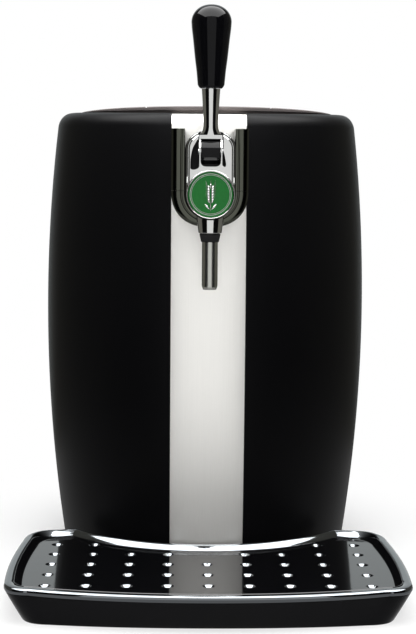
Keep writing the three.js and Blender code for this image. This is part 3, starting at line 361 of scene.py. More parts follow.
def grainy(scale, deep, detail=2):
    """Relief of even noise, its scale in waves to the metre and its depth in metres."""
    def relief(tree):
        return tree.noise(tree.place(), scale, detail), deep
    return relief


print("finish maker ready")

# %% [markdown]
# ## Black of the housing
# The shells are moulded and then coated with a soft-touch varnish, which hardly shines. A plain
# rough black would look like cloth, so it keeps a faint sheen and a grain finer than a millimetre.

# %% Soft black coat
soft_scale = 1500
finish("soft_black", (0.0012, 0.0012, 0.0016), specular=0.075, relief=grainy(soft_scale, 0.00004),
       ink=cloudy(0.25, (9, 3), low_rough=0.34, cloud_rough=0.06, pores=(1400, 2), pore_rough=0.08))
print("soft black, grain of", round(1000 / soft_scale, 2), "mm")

# %% [markdown]
# ## Gloss black
# The tray, the handle and the drum are hard shiny plastic. A perfect mirror would look like glazed
# paint. Moulded gloss is faintly wavy, and softer patches stand for where it has been wiped. The
# plate with the drain holes is the same in a shinier black.

# %% Gloss black of the tray, the handle and the drum
for name, specular in (("gloss_black", 0.14), ("plate_gloss", 0.6)):
    finish(name, (0.0022, 0.0022, 0.0027), specular=specular, relief=grainy(60, 0.00003, 1),
           ink=cloudy(0.2, (28, 4), low_rough=0.045, cloud_rough=0.05))
print("gloss black, and a shinier one for the plate")

# %% [markdown]
# ## Brushed steel
# The front strip is brushed upwards and the spout is turned, which leaves rings. Both are the same
# noise stretched along the lines: fine lines with broader ones mixed in. A picture of brushed metal
# would repeat, and this doesn't.

# %% Steel of the strip and the spout
def brushed(tree, scale, broad=0.21):
    fine_lines = tree.noise(tree.stretched(scale), 1, 3, 0.6)
    broad_lines = tree.noise(tree.stretched(tuple(s * broad for s in scale)), 1, 2)
    return fine_lines * 0.7 + broad_lines * 0.3


def brushed_metal(name, colour, scale, deep, spread, low_rough, line_rough, metallic=1):
    def ink(tree, colour):
        lines = brushed(tree, scale)
        return {"Base Color": tint(tree, lines, colour, spread),
                "Roughness": lines * line_rough + low_rough}

    def relief(tree):
        return brushed(tree, scale), deep
    finish(name, colour, ink, relief, metallic=metallic)


strip_lines = (5200, 900, 24)
brushed_metal("front_steel", (0.80, 0.79, 0.76), strip_lines, 0.000012, spread=0.07,
              low_rough=0.26, line_rough=0.16, metallic=0.6)
print("brushed steel, lines", round(1000 / strip_lines[0], 2), "mm apart")

# %% [markdown]
# ## Chrome
# Chrome is a mirror, but plated plastic is never quite flat: slow waves bend the reflections, and
# fingers leave softer spots. The saddle is the same in a smoked tone, and the tray's rim is between
# the two. The tone is set by the colour, because a mirror can't be darkened by light.

# %% Chrome, smoked chrome and the rim's tone
for name, colour, low_rough in (("chrome", (0.63, 0.635, 0.625), 0.03),
                                ("dark_chrome", (0.082, 0.086, 0.070), 0.08),
                                ("rim_chrome", (0.165, 0.175, 0.185), 0.04)):
    finish(name, colour, metallic=1, relief=grainy(90, 0.00002, 1),
           ink=cloudy(0.04, (45, 4), low_rough=low_rough, cloud_rough=0.06))
brushed_metal("spout_steel", (0.48, 0.485, 0.45), (60, 60, 6000), 0.000006, spread=0.06,
              low_rough=0.2, line_rough=0.08)
print("chrome in three tones, and the turned steel of the spout")

# %% [markdown]
# ## Plain metals
# Screws, pins and the parts that carry the cold are rolled or drawn metal. Their marks are noise
# stretched in the direction of the rolling, and spots of a slower noise change the shade.

# %% Plain steel and aluminium
def sheet_metal(name, colour, low_rough, scale):
    def ink(tree, colour):
        rolled = tree.noise(tree.stretched(scale), 1, 3)
        spots = tree.noise(tree.place(), 70, 3)
        return {"Base Color": tint(tree, spots, colour, 0.08), "Roughness": rolled * 0.14 + low_rough}

    def relief(tree):
        return tree.noise(tree.stretched(scale), 1, 3), 0.00001
    finish(name, colour, ink, relief, metallic=1)


sheet_metal("inner_steel", (0.56, 0.56, 0.55), 0.24, (300, 300, 1800))
sheet_metal("aluminium", (0.66, 0.67, 0.68), 0.32, (500, 500, 60))
print("two plain metals")

# %% [markdown]
# ## Plastics and rubber
# Moulded plastics share one skin: a spark-eroded grain of about a millimetre, with slow changes in
# gloss where the mould was polished. Rubber is coarser and quite matt. One maker serves them all,
# so they look like pieces from one shop.

# %% Moulded plastics and rubber
def moulded(name, colour, low_rough, grain, deep, specular):
    finish(name, colour, specular=specular, relief=grainy(grain, deep, 3),
           ink=cloudy(0.12, (16, 3), low_rough, cloud_rough=0.08, pores=(grain, 2), pore_rough=0.1))


moulded("lid_grey", (0.105, 0.091, 0.089), 0.33, 1300, 0.00004, specular=0.25)
moulded("black_plastic", (0.0022, 0.0022, 0.0026), 0.36, 1100, 0.00006, specular=0.08)
moulded("rubber", (0.007, 0.007, 0.0075), 0.66, 700, 0.00009, specular=0.15)
print("lid plastic, black plastic and rubber")

# %% [markdown]
# ## Foam and ceramic
# The insulation is a rigid foam, whose closed cells are the cells of a Voronoi pattern, both as
# shade and as relief. The cooling module has pale ceramic faces, with spots and a fine grain.

# %% Foam and ceramic
cells_to_the_metre = 420


def foam_cells(tree):
    return tree.node("ShaderNodeTexVoronoi", sockets={
        "Vector": tree.place(), "Scale": cells_to_the_metre}, output="Distance")


def foam_ink(tree, colour):
    return {"Base Color": tint(tree, foam_cells(tree), colour, 0.18)}


def foam_relief(tree):
    return foam_cells(tree), 0.0006


def ceramic_ink(tree, colour):
    return {"Base Color": tint(tree, tree.noise(tree.place(), 260, 3), colour, 0.05)}


finish("foam", (0.78, 0.75, 0.66), foam_ink, foam_relief, roughness=0.9)
finish("ceramic", (0.84, 0.83, 0.79), ceramic_ink, grainy(900, 0.00003), roughness=0.55)
print("foam with cells of", round(1000 / cells_to_the_metre, 1), "mm, and ceramic")

# %% [markdown]
# ## Enamel and circuit board
# The badge is shiny green enamel with fine flakes in it. The control board is green lacquer over
# copper tracks. They could be drawn one by one, but the board lies inside a closed housing, where a
# brick pattern is close enough.

# %% Enamel and circuit board
finish("green_enamel", (0.004, 0.100, 0.013), specular=0.25, relief=grainy(220, 0.00004, 1),
       ink=cloudy(0.35, (900, 2), low_rough=0.2, cloud_rough=0.1))


def board_ink(tree, colour):
    tracks = tree.node("ShaderNodeTexBrick", sockets={
        "Vector": tree.place(), "Color1": (*colour, 1), "Color2": (0.016, 0.14, 0.05, 1),
        "Mortar": (0.03, 0.26, 0.09, 1), "Scale": 120.0, "Mortar Size": 0.08}, output="Color")
    return {"Base Color": tracks, "Roughness": tree.noise(tree.place(), 200, 2) * 0.2 + 0.3}


finish("board_green", (0.012, 0.11, 0.04), board_ink, grainy(500, 0.00006))
print(len(finishes), "finishes")

# %% [markdown]
# ## Shapes
# The drawing frame is in millimetres, with the keg's upright axis at the middle of its plan. A
# piece could be started from a cube or a cylinder and pushed into shape, but then its sizes are
# lost. Here each one is a stack of rings or a turned profile, so every number is a real measure.

# %% From rings to meshes
MM = 0.001
keg_axis_y = 47.0


def skin(name, points, faces):
    """A mesh object from points in millimetres round the keg's axis, with its faces turned outwards."""
    piece = plain_object(name, (np.asarray(points, float) + (0, keg_axis_y, 0)) * MM, faces)
    work = bmesh.new()
    work.from_mesh(piece.data)
    bmesh.ops.recalc_face_normals(work, faces=work.faces)
    work.to_mesh(piece.data)
    work.free()
    return piece


def stack(name, rings):
    """Rings with the same count of points, joined by quads and closed at both ends."""
    count, levels = len(rings[0]), len(rings)
    faces = []
    for low in range(0, (levels - 1) * count, count):
        for i in range(count):
            k = (i + 1) % count
            faces.append((low + i, low + k, low + count + k, low + count + i))
    faces += [tuple(range(count))[::-1], tuple(range((levels - 1) * count, levels * count))]
    return skin(name, np.concatenate([np.asarray(ring, float) for ring in rings]), faces)


def at_height(flat, z):
    """A flat outline lifted to a height, or to one height for each of its points."""
    flat = np.asarray(flat, float)
    return np.column_stack([flat, np.broadcast_to(z, len(flat))])


def slab(flat, zs):
    return stack("slab", [at_height(flat, z) for z in zs])


def block(xs, ys, zs):
    return slab([(xs[0], ys[0]), (xs[1], ys[0]), (xs[1], ys[1]), (xs[0], ys[1])], zs)


def pushed(outline, ys):
    """Outlines of (x, z) points, one or one for each depth, joined along Y."""
    outlines = outline if len(np.shape(outline)) == 3 else [outline] * len(ys)
    return stack("pushed", [np.insert(np.asarray(line, float), 1, y, axis=1)
                            for line, y in zip(outlines, ys)])


print("stack, slab, block and pushed are ready")

# %% [markdown]
# Round pieces are turned, as on a lathe: a profile of radius and height goes round an axis. Sharp
# corners catch no light, so profiles and outlines have their corners rounded first.

# %% Turned pieces and soft corners
def turned(name, profile, sides=96, centre=(0, 0, 0), axis="Z"):
    """A profile of (radius, height) turned round an axis. It starts and ends on the axis, or closes.
    Heights go up, to the right along X, and towards the front along Y."""
    profile = [tuple(p) for p in profile]
    loops = profile[0] == profile[-1]
    rows = profile[:-1] if loops else profile
    points, index = [], []
    for radius, height in rows:
        if radius < 1e-6:
            index.append([len(points)] * sides)
            points.append((0, 0, height))
            continue
        index.append(list(range(len(points), len(points) + sides)))
        for turn in np.arange(sides) * 2 * math.pi / sides:
            points.append((radius * math.cos(turn), radius * math.sin(turn), height))
    faces = []
    for a in range(len(rows) if loops else len(rows) - 1):
        low, high = index[a], index[(a + 1) % len(rows)]
        for i in range(sides):
            k = (i + 1) % sides
            corners = [low[i], low[k], high[k], high[i]]
            face = [c for n, c in enumerate(corners) if c not in corners[:n]]
            if len(face) > 2:
                faces.append(face)
    points = np.asarray(points, float)
    if axis == "Y":
        points = points[:, [0, 2, 1]] * (1, -1, 1)
    if axis == "X":
        points = points[:, [2, 0, 1]]
    return skin(name, points + centre, faces)


def rod(axis, radius, span, centre=(0, 0, 0), sides=48):
    profile = [(0, span[0]), (radius, span[0]), (radius, span[1]), (0, span[1])]
    return turned("rod", profile, sides, centre, axis)


def softened(points, radius, steps=4, closed=False):
    """The corners of an open line, or of a closed one, rounded over."""
    points = [np.asarray(p, float) for p in points]
    count = len(points)
    line = [] if closed else [points[0]]
    for i in range(count) if closed else range(1, count - 1):
        before, corner, after = points[i - 1], points[i], points[(i + 1) % count]
        back, ahead = before - corner, after - corner
        reach = min(radius, np.linalg.norm(back) / 2.01, np.linalg.norm(ahead) / 2.01)
        start = corner + back / np.linalg.norm(back) * reach
        end = corner + ahead / np.linalg.norm(ahead) * reach
        for t in np.linspace(0, 1, steps + 1):
            line.append((1 - t) ** 2 * start + 2 * t * (1 - t) * corner + t ** 2 * end)
    return line if closed else line + [points[-1]]


print("turned, rod and softened are ready")

# %% [markdown]
# Holes are cut with the boolean modifier. It could stay on the piece, but then every change is
# worked out again and the cutting tools clutter the scene. So it is applied at once, the tools are
# thrown away, and each piece ends as a plain mesh.

# %% Cutting, joining and finishing a piece
def carve(piece, *tools, how="DIFFERENCE"):
    for tool in tools:
        step = piece.modifiers.new(how.lower(), "BOOLEAN")
        step.operation, step.solver, step.object = how, "MANIFOLD", tool
    bpy.context.view_layer.update()
    shaped = piece.evaluated_get(bpy.context.evaluated_depsgraph_get())
    mesh = bpy.data.meshes.new_from_object(shaped)
    piece.modifiers.clear()
    piece.data = mesh
    for tool in tools:
        bpy.data.objects.remove(tool, do_unlink=True)
    return piece


def weld(piece, *others):
    return carve(piece, *others, how="UNION")


def within(piece, *others):
    return carve(piece, *others, how="INTERSECT")


def gathered(name, parts):
    """Pieces that don't touch each other, put together into one mesh."""
    points, faces = [], []
    for part in parts:
        start = len(points)
        points += [tuple(v.co) for v in part.data.vertices]
        faces += [tuple(start + i for i in f.vertices) for f in part.data.polygons]
        bpy.data.objects.remove(part, do_unlink=True)
    return plain_object(name, points, faces)


def done(piece, name, body, material, replaces=(), smooth=32):
    """Names, shades and finishes a piece, and ties it to its moving body."""
    piece.name = piece.data.name = name
    piece.data.polygons.foreach_set("use_smooth", [True] * len(piece.data.polygons))
    piece.data.set_sharp_from_angle(angle=math.radians(smooth))
    piece.data.materials.clear()
    piece.data.materials.append(finishes[material])
    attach(piece, body)
    if replaces:
        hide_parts(*replaces)
    print(name, len(piece.data.polygons), "faces")


print("cutting tools ready")

# %% [markdown]
# ## Housing
# The housing is a barrel: half an ellipse in front, squarer behind, widest at mid height. It could
# be sculpted from a box, but its curve is simple: one outline repeated at many heights, drawn in at
# the top over a rounded edge. At the sides and behind the edge climbs a little, where it hides the
# ends of the lid.

# %% Form of the housing
body_half, body_mid_z, body_bow, body_nose = 126.0, 187.0, 1220.0, 10.0
body_bottom, body_top, body_rear, edge_radius, rear_power = 4.0, 340.0, 170.0, 9.0, 3.5
shoulder_rise, rise_from, rise_over = 2.0, -130.0, 105.0


def half_at(z):
    return body_half - (z - body_mid_z) ** 2 / (2 * body_bow)


def plan(half, front, rear, rear_steps=96, front_steps=128):
    turns = np.arange(rear_steps) * math.pi / rear_steps
    power = 2 / rear_power
    behind = np.stack([half * np.sign(np.cos(turns)) * np.abs(np.cos(turns)) ** power,
                       rear * np.sin(turns) ** power], 1)
    turns = math.pi + np.arange(front_steps) * math.pi / front_steps
    return np.concatenate([behind, np.stack([half * np.cos(turns), front * np.sin(turns)], 1)])


def body_ring(z, inset):
    return plan(half_at(z) - inset, half_at(z) + body_nose - inset, body_rear - inset)


def eased(share):
    """A share from 0 to 1 that starts and ends gently."""
    share = np.clip(share, 0, 1)
    return share * share * (3 - 2 * share)


def body_form(inset, low=body_bottom, levels=26, edge_levels=8):
    edge_z = body_top - edge_radius
    rings = [at_height(body_ring(z, inset), z) for z in np.linspace(low, edge_z, levels)[:-1]]
    radius = edge_radius - inset
    for turn in np.linspace(0, math.pi / 2, edge_levels + 1):
        z = edge_z + radius * math.sin(turn)
        flat = body_ring(z, inset + radius * (1 - math.cos(turn)))
        climb = shoulder_rise * eased((flat[:, 1] - rise_from) / rise_over)
        rings.append(at_height(flat, z + math.sin(turn) * climb))
    return stack("body_form", rings)


print("housing is", 2 * body_half, "mm wide at", body_mid_z, "mm up")

# %% [markdown]
# ## Shells
# The two shells are that form less a smaller one inside it, with openings for the lid, the base,
# the strip, the rear panel and the tap. They could be modelled one by one, but halves of one form
# meet exactly, so it is cut last along a narrow seam.

# %% Shells
wall, shell_bottom, seam, fit = 3.2, 8.3, 0.4, 0.3
strip_half, strip_inset, strip_thick, strip_low = 27.0, 0.6, 1.2, 12.0
panel_half, panel_low, panel_high = 58.0, 14.0, 312.0
line_z, port_radius, tap_screw_zs, tap_screw_hole = 288.0, 6.0, (271.0, 305.0), 2.3
# How far cuts go past the front, past the top, past the lever's pin, and past everything
past_front, past_top, past_pin, past_all = 264.0, 345.0, 20.0, 680.0
shell_mouth = {"inset": 22, "rear": 131, "z": 322}
shell_recess = {"inset": 19.7, "rear": 133, "z": 340.1}
floor_inset, floor_thick, floor_past = 14, 3, 22
base_boss = {"radius": 5, "top": 24, "hole": 1.9, "depth": 19.9}
base_screw_inset, rear_screw_x, rear_screw_y = 9, 70, 151
base_screws = [(side * (half_at(shell_bottom) - base_screw_inset), 0) for side in (-1, 1)]
base_screws += [(side * rear_screw_x, rear_screw_y) for side in (-1, 1)]


def front_holes():
    """The ways through the front wall for the line and for the screws of the tap."""
    return [rod("Y", port_radius + fit, (0, past_front), (0, 0, line_z))] + [
        rod("Y", tap_screw_hole, (0, past_front), (0, 0, z), 24) for z in tap_screw_zs]


def top_opening(inset, rear, z):
    return slab(plan(half_at(body_top) - inset, half_at(body_top) + body_nose - inset, rear), (z, past_top))


shells = body_form(0, shell_bottom)
strip_room = block((-strip_half - fit, strip_half + fit), (-past_front, 0), (strip_low - fit, past_top))
carve(strip_room, body_form(strip_inset + strip_thick + fit))
carve(shells, body_form(wall, shell_bottom + floor_thick),
      top_opening(**shell_mouth), top_opening(**shell_recess),
      slab(body_ring(shell_bottom, floor_inset), (0, floor_past)), strip_room,
      block((-panel_half - fit, panel_half + fit), (0, past_all), (panel_low - fit, panel_high + fit)),
      *front_holes())
for x, y in base_screws:
    boss = rod("Z", base_boss["radius"], (shell_bottom, base_boss["top"]), (x, y, 0), 24)
    weld(shells, within(boss, body_form(0.4, shell_bottom)))
    carve(shells, rod("Z", base_boss["hole"], (0, base_boss["depth"]), (x, y, 0), 16))
right = shells.copy()
right.data = shells.data.copy()
bpy.context.scene.collection.objects.link(right)
within(shells, block((-past_all, -seam / 2), (-past_all, past_all), (-past_all, past_all)))
within(right, block((seam / 2, past_all), (-past_all, past_all), (-past_all, past_all)))
done(shells, "shell_left_fine", "housing", "soft_black", ["left_shell"])
done(right, "shell_right_fine", "housing", "soft_black", ["right_shell"])

# %% [markdown]
# ## Front strip
# The strip is a thin bent sheet of brushed steel that follows the same skin a little further in and
# folds over the top edge. Bending a flat plate would only come near that curve. A slice of the
# body's own form, as thick as the sheet, follows it everywhere.

# %% Strip
fold_back = 13
strip = carve(body_form(strip_inset), body_form(strip_inset + strip_thick))
strip_back = half_at(body_top) + body_nose - edge_radius - fold_back
within(strip, block((-strip_half, strip_half), (-past_front, -strip_back), (strip_low, body_top)))
carve(strip, *front_holes())
done(strip, "front_strip_fine", "housing", "front_steel", ["front_strip"])

# %% [markdown]
# ## Rear panel
# The rear panel is a slice of the skin as well, with vents below and in front of the fan, and ways
# through for the power socket, the switch and four screws. Punched slots have round ends, so each
# one is a stadium pushed through the panel.

# %% Rear panel
fan_z, vent_high, vent_pitch, vent_radius = 200.0, 4.0, 11.0, 38.0
low_vent_half, low_vent_zs = 34, (92, 104, 116)
socket_x, switch_x, back_z = -30.0, 30.0, 50.0
socket_half, socket_high, switch_half, switch_high = 14, 10, 10.5, 14
panel_screws = [(side, level, x, z) for side, x in (("left", -52), ("right", 52))
                for level, z in (("lower", 26), ("upper", 300))]
head_room, head_room_ys, shank_room, shank_room_ys = 3.3, (-175, -164.5), 1.8, (-170, -157.3)


def stadium(half, high, z, steps=8):
    """A slot's outline with round ends, as (x, z) points."""
    radius = high / 2
    turns = np.linspace(-math.pi / 2, math.pi / 2, steps + 1)
    right_end = [(half - radius + radius * math.cos(t), z + radius * math.sin(t)) for t in turns]
    return right_end + [(-x, 2 * z - up) for x, up in right_end]


def panel_opening(x, half, high):
    half, high = half + fit, high + fit
    return block((x - half, x + half), (0, past_all), (back_z - high, back_z + high))


panel = carve(body_form(0), body_form(wall))
within(panel, block((-panel_half, panel_half), (0, past_all), (panel_low, panel_high)))
slots = [pushed(stadium(low_vent_half, vent_high, z), (0, past_all)) for z in low_vent_zs]
for rise in np.arange(vent_high - vent_radius, vent_radius - vent_high + 0.1, vent_pitch):
    half = math.sqrt(vent_radius ** 2 - rise ** 2)
    slots.append(pushed(stadium(half, vent_high, fan_z + rise), (0, past_all)))
slots.append(panel_opening(socket_x, socket_half, socket_high))
slots.append(panel_opening(switch_x, switch_half, switch_high))
for side, level, x, z in panel_screws:
    slots += [rod("Y", head_room, head_room_ys, (x, 0, z), 32),
              rod("Y", shank_room, shank_room_ys, (x, 0, z), 24)]
print(len(slots), "holes in the panel")
carve(panel, *slots)
done(panel, "rear_panel_fine", "housing", "black_plastic", ["rear_panel"])

# %% [markdown]
# ## Power socket
# The socket is a moulded box that pushes through the rear panel and holds behind it by a flange. It
# takes a small two-pin plug, so its recess has round ends. A plain box would do from afar, but its
# edge is what catches the light, so the box is drawn in over a small round there.

# %% Power socket
flange_grow, flange_ys, box_edge, recess_past = 3, (161.4, 164.2), 0.6, 172


def soft_box(x, half, high, radius, shrink=0.0):
    """A rectangle with round corners as (x, z) points, about the middle of a box in the panel."""
    corners = [(x + side * (half - shrink), back_z + up * (high - shrink))
               for side, up in ((-1, -1), (1, -1), (1, 1), (-1, 1))]
    return softened(corners, radius, 5, closed=True)


def panel_box(x, half, high, back, face):
    """A box with a flange, and with its edge rounded where it faces the back."""
    turns = np.linspace(0, math.pi / 2, 5)
    lines = [soft_box(x, half, high, 1.2)]
    lines += [soft_box(x, half, high, 1.2, box_edge * (1 - math.cos(t))) for t in turns]
    ys = [back] + [face - box_edge * (1 - math.sin(t)) for t in turns]
    flange = pushed(soft_box(x, half + flange_grow, high + flange_grow, 2), flange_ys)
    return weld(pushed(lines, ys), flange)


socket = panel_box(socket_x, socket_half, socket_high, back=146, face=167.4)
oval = [(socket_x + x, z) for x, z in stadium(11, 14, back_z, 12)]
carve(socket, pushed(oval, (153, recess_past)))
pin, pin_x = [(0, -162), (0.7, -161.8), (1.15, -161.3), (1.3, -160.6), (1.3, -152.5), (0, -152.5)], 4.3
weld(socket, *[turned("pin", pin, 24, (socket_x + x, 0, back_z), "Y") for x in (-pin_x, pin_x)])
done(socket, "power_inlet_fine", "housing", "black_plastic", ["power_inlet"])

# %% [markdown]
# ## Switch
# The switch is the same kind of box with a well in it. Its rocker is hollowed for a fingertip and
# turns on two short trunnions. It stands tilted at rest, so its outline is drawn upright, as on a
# work bench, and each point is then turned about the trunnions.

# %% Switch
rocker_half, rocker_high, rocker_y, rocker_tilt = 7.4, 10, 160.0, math.radians(12)
well_half, well_high, well_floor, trunnion_radius, pin_play = 7.7, 11.4, 154, 1.2, 0.15
trunnions = (switch_x, rocker_y, back_z)
switch = panel_box(switch_x, switch_half, switch_high, back=148, face=167.2)
carve(switch, pushed(soft_box(switch_x, well_half, well_high, 0.8), (well_floor, recess_past)),
      rod("X", trunnion_radius + pin_play, (-9.5, 9.5), trunnions, 24))
done(switch, "switch_housing_fine", "housing", "black_plastic", ["switch_housing"])
waist, hollow_deep = 3.6, 1.9
hollow_top = [(waist + hollow_deep * (up / rocker_high) ** 2, up)
              for up in np.linspace(-rocker_high, rocker_high, 13)]
rocker_line = softened(hollow_top + [(1, rocker_high), (-3, 6), (-3, -6), (1, -rocker_high)], 0.5, 3,
                       closed=True)
rings = []
for x, share in ((-rocker_half, 0.95), (-rocker_half + 0.15, 0.98), (-rocker_half + 0.5, 1),
                 (rocker_half - 0.5, 1), (rocker_half - 0.15, 0.98), (rocker_half, 0.95)):
    rings.append([(switch_x + x,
                   rocker_y + share * (out * math.cos(rocker_tilt) + up * math.sin(rocker_tilt)),
                   back_z + share * (up * math.cos(rocker_tilt) - out * math.sin(rocker_tilt)))
                  for out, up in rocker_line])
rocker = weld(stack("rocker", rings), rod("X", trunnion_radius, (-8.6, 8.6), trunnions, 24))
done(rocker, "switch_rocker_fine", "rocker", "gloss_black", ["switch_rocker"])

# %% [markdown]
# ## Screws of the rear panel
# Four small screws with domed heads hold the panel. A head could be a picture of a cross, but the
# light has to sink into the slots, so two narrow blocks are cut out of each one.

# %% Screws
screw_line = [(0, -166.6), (1.6, -166.6), (2.5, -166.3), (2.95, -165.7), (3.0, -164.8), (1.5, -164.8),
              (1.5, -157.6), (0, -157.6)]
cross_long, cross_wide, cross_floor, cross_past = 1.7, 0.35, 165.5, 168
for side, level, x, z in panel_screws:
    name = f"rear_screw_{level}_{side}"
    screw = turned(name, screw_line, 40, (x, 0, z), "Y")
    for long, high in ((cross_long, cross_wide), (cross_wide, cross_long)):
        carve(screw, block((x - long, x + long), (cross_floor, cross_past), (z - high, z + high)))
    done(screw, name + "_fine", "housing", "inner_steel", [name])

# %% [markdown]
# ## Lid
# The lid is a thin crowned cover. It sits just inside the shells' rounded edge, with two shallow
# grooves from front to back and a hinge barrel behind. It is a stack of the body's outline again:
# it starts a little further in, which leaves the dark seam above the housing, rounds its edge, which
# catches a line of light, and then closes towards the middle under the crown.

# %% Lid
lid_bottom, lid_edge, lid_crown, lid_gap, crown_power, lid_inset = 340.6, 2.1, 2.6, 1.8, 2.8, 16.5
lid_half, lid_front = half_at(body_top) - lid_inset, half_at(body_top) + body_nose - lid_inset
lid_rear, barrel_half, hinge_y, hinge_z, knuckle, hinge_bore = 112.0, 45.7, 118.0, 337.5, 4.0, 1.95
recess_inset, lid_round, lid_round_high = 4, 1.2, 0.8
groove_x, groove_end, leaf_lap, lid_past = 46, 12, 8, 300


def crown_at(x):
    return lid_bottom + lid_edge + lid_crown * (1 - np.abs(x / lid_half) ** crown_power)


def lid_plan(inset):
    return plan(lid_half - inset, lid_front - inset, lid_rear - inset)


def lid_ring(inset, drop, share=1.0):
    flat = lid_plan(inset) * share
    return at_height(flat, np.maximum(crown_at(flat[:, 0]) - drop, lid_bottom + lid_gap + 0.15))


rings = [at_height(lid_plan(recess_inset), lid_bottom),
         at_height(lid_plan(recess_inset), lid_bottom + lid_gap - 0.1),
         at_height(lid_plan(0), lid_bottom + lid_gap)]
for turn in np.linspace(0, math.pi / 2, 5):
    rings.append(lid_ring(lid_round * (1 - math.cos(turn)), lid_round_high * (1 - math.sin(turn))))
rings += [lid_ring(lid_round, 0, share) for share in (0.93, 0.84, 0.72, 0.6, 0.45, 0.3, 0.15, 0.05)]
lid = stack("lid", rings)
groove_top = crown_at(groove_x)
groove = [(-0.8, 4), (-0.7, -0.5), (-0.4, -0.8), (0.4, -0.8), (0.7, -0.5), (0.8, 4)]
for side in (-1, 1):
    trench = [(side * groove_x + x, groove_top + up) for x, up in groove]
    carve(lid, pushed(trench, (-lid_past, lid_rear - groove_end)))
barrel, hinge = (-barrel_half, barrel_half), (0, hinge_y, hinge_z)
weld(lid, block(barrel, (lid_rear - leaf_lap, hinge_y), (lid_bottom - 0.15, hinge_z + knuckle)),
     rod("X", knuckle, barrel, hinge))
carve(lid, rod("X", hinge_bore, (-lid_past, lid_past), hinge))
done(lid, "lid_cover", "lid", "lid_grey", ["lid_shell"])

# %% [markdown]
# ## Tap
# The tap is an oval column with a straight front. Its outline is a half circle round the badge,
# straight sides and a flatter arch above. Bezel, badge and body all use it, grown or shrunk, so
# they stay in line when one measure changes. The body is that outline pushed back to the housing,
# less a pocket for the lever and the bores for the line, the pin and the screws.

# %% Tap body
spout_y, tap_half, badge_z, tap_front, tap_back, tap_edge = -179.0, 17.3, 283.1, -183.0, -108, 0.7
arch_z, arch_rise, pivot_y, pivot_z, drum_radius = 314.0, 13.0, -176.0, 312.0, 8.8
pocket_half, pocket_front, nose_reach, pin_radius = 8.6, -188, 11.2, 2.0
line_room, pinch_room = 3.3, {"xs": (-5.8, 5.8), "ys": (-181.3, -163.7), "low": 291}
pivot = (0, pivot_y, pivot_z)


def tap_line(half, grow=0.0, steps=40):
    """The tap's front outline as (x, z) points."""
    low, high = np.linspace(math.pi, 2 * math.pi, steps + 1), np.linspace(0, math.pi, steps + 1)
    wide = half + grow
    return np.concatenate([
        np.stack([wide * np.cos(low), badge_z + wide * np.sin(low)], 1),
        np.stack([wide * np.cos(high), arch_z + (arch_rise + grow) * np.sin(high)], 1)])


turns = np.linspace(0, math.pi / 2, 4)
tap = pushed([tap_line(tap_half, -tap_edge * (1 - math.sin(t))) for t in turns] + [tap_line(tap_half)],
             [tap_front + tap_edge * (1 - math.cos(t)) for t in turns] + [tap_back])
carve(tap, body_form(strip_inset - fit),
      block((-pocket_half, pocket_half), (pocket_front, pivot_y + drum_radius + fit), (pivot_z, past_top)),
      rod("X", nose_reach + fit, (-pocket_half, pocket_half), pivot, 72),
      block((-pocket_half, pocket_half), (pocket_front, pivot_y), (pivot_z - nose_reach, pivot_z)),
      block(pinch_room["xs"], pinch_room["ys"], (pinch_room["low"], pivot_z)),
      rod("Z", line_room, (0, line_z), (0, spout_y, 0), 32),
      rod("Y", line_room, (150, 179), (0, 0, line_z), 32),
      rod("X", pin_radius + pin_play, (-14.8, 14.8), pivot, 32),
      rod("Y", port_radius + fit, (0, 136.3), (0, 0, line_z)),
      *[rod("Y", tap_screw_hole, (0, 152), (0, 0, z), 24) for z in tap_screw_zs])
done(tap, "tap_column", "housing", "black_plastic", ["tap_body"])

# %% [markdown]
# ## Bezel
# The bezel is a chrome frame with a bead round its edge and a groove inside it, which shows as a
# fine dark line. It has a window for the lever's drum and openings beside it: the left one is wide,
# like a half moon, and the right one is only a slit. A hole with a sharp edge looks like paper, so
# every opening is flared in front.

# %% Bezel
bezel_half, bezel_front, bezel_rear = 16.6, -187.3, -183.3
# How far in from the bezel's outline, and how far behind its face
bezel_edge = [(0.0, 1.7), (0.08, 1.35), (0.3, 1.08), (0.55, 1.0), (0.75, 1.08), (0.92, 1.5), (1.15, 2.8),
              (1.3, 2.8), (1.6, 1.0), (1.75, 0.45), (2.0, 0.15), (2.4, 0.0)]
bezel_past, flare_wide, flare_deep = (-190, -180), 0.35, 0.5
window = softened([(-6.7, 318), (-6.7, 302), (6.7, 302), (6.7, 318)], 4, 8)
moon = softened([(-8.1, 301.2), (-8.1, 320), (-9.3, 320), (-12.4, 314), (-13.6, 307), (-13.6, 300.3),
                 (-11.2, 299.9)], 2.4, 6, closed=True)
slit = softened([(8.1, 303), (9.6, 301.6), (10.2, 303.4), (9.4, 309), (8.1, 315)], 0.8, 4, closed=True)


def opening(line):
    """A hole through the bezel whose front edge is flared."""
    line = np.asarray(line, float)
    middle = line.mean(0)
    spread = line - middle
    flare = [line, line, middle + spread * (1 + flare_wide / np.abs(spread).max(0))]
    return pushed(flare, (bezel_past[1], bezel_front + flare_deep, bezel_front - 0.01))


bezel = pushed([tap_line(bezel_half)] + [tap_line(bezel_half, -inset) for inset, behind in bezel_edge],
               [bezel_rear] + [bezel_front + behind for inset, behind in bezel_edge])
print("bezel with", len(bezel_edge), "steps round its edge")

# %% [markdown]
# When the lever is pulled all the way, the neck of its fork lies where the bezel would be. The room
# for it is a block turned by that angle about the lever's pin.

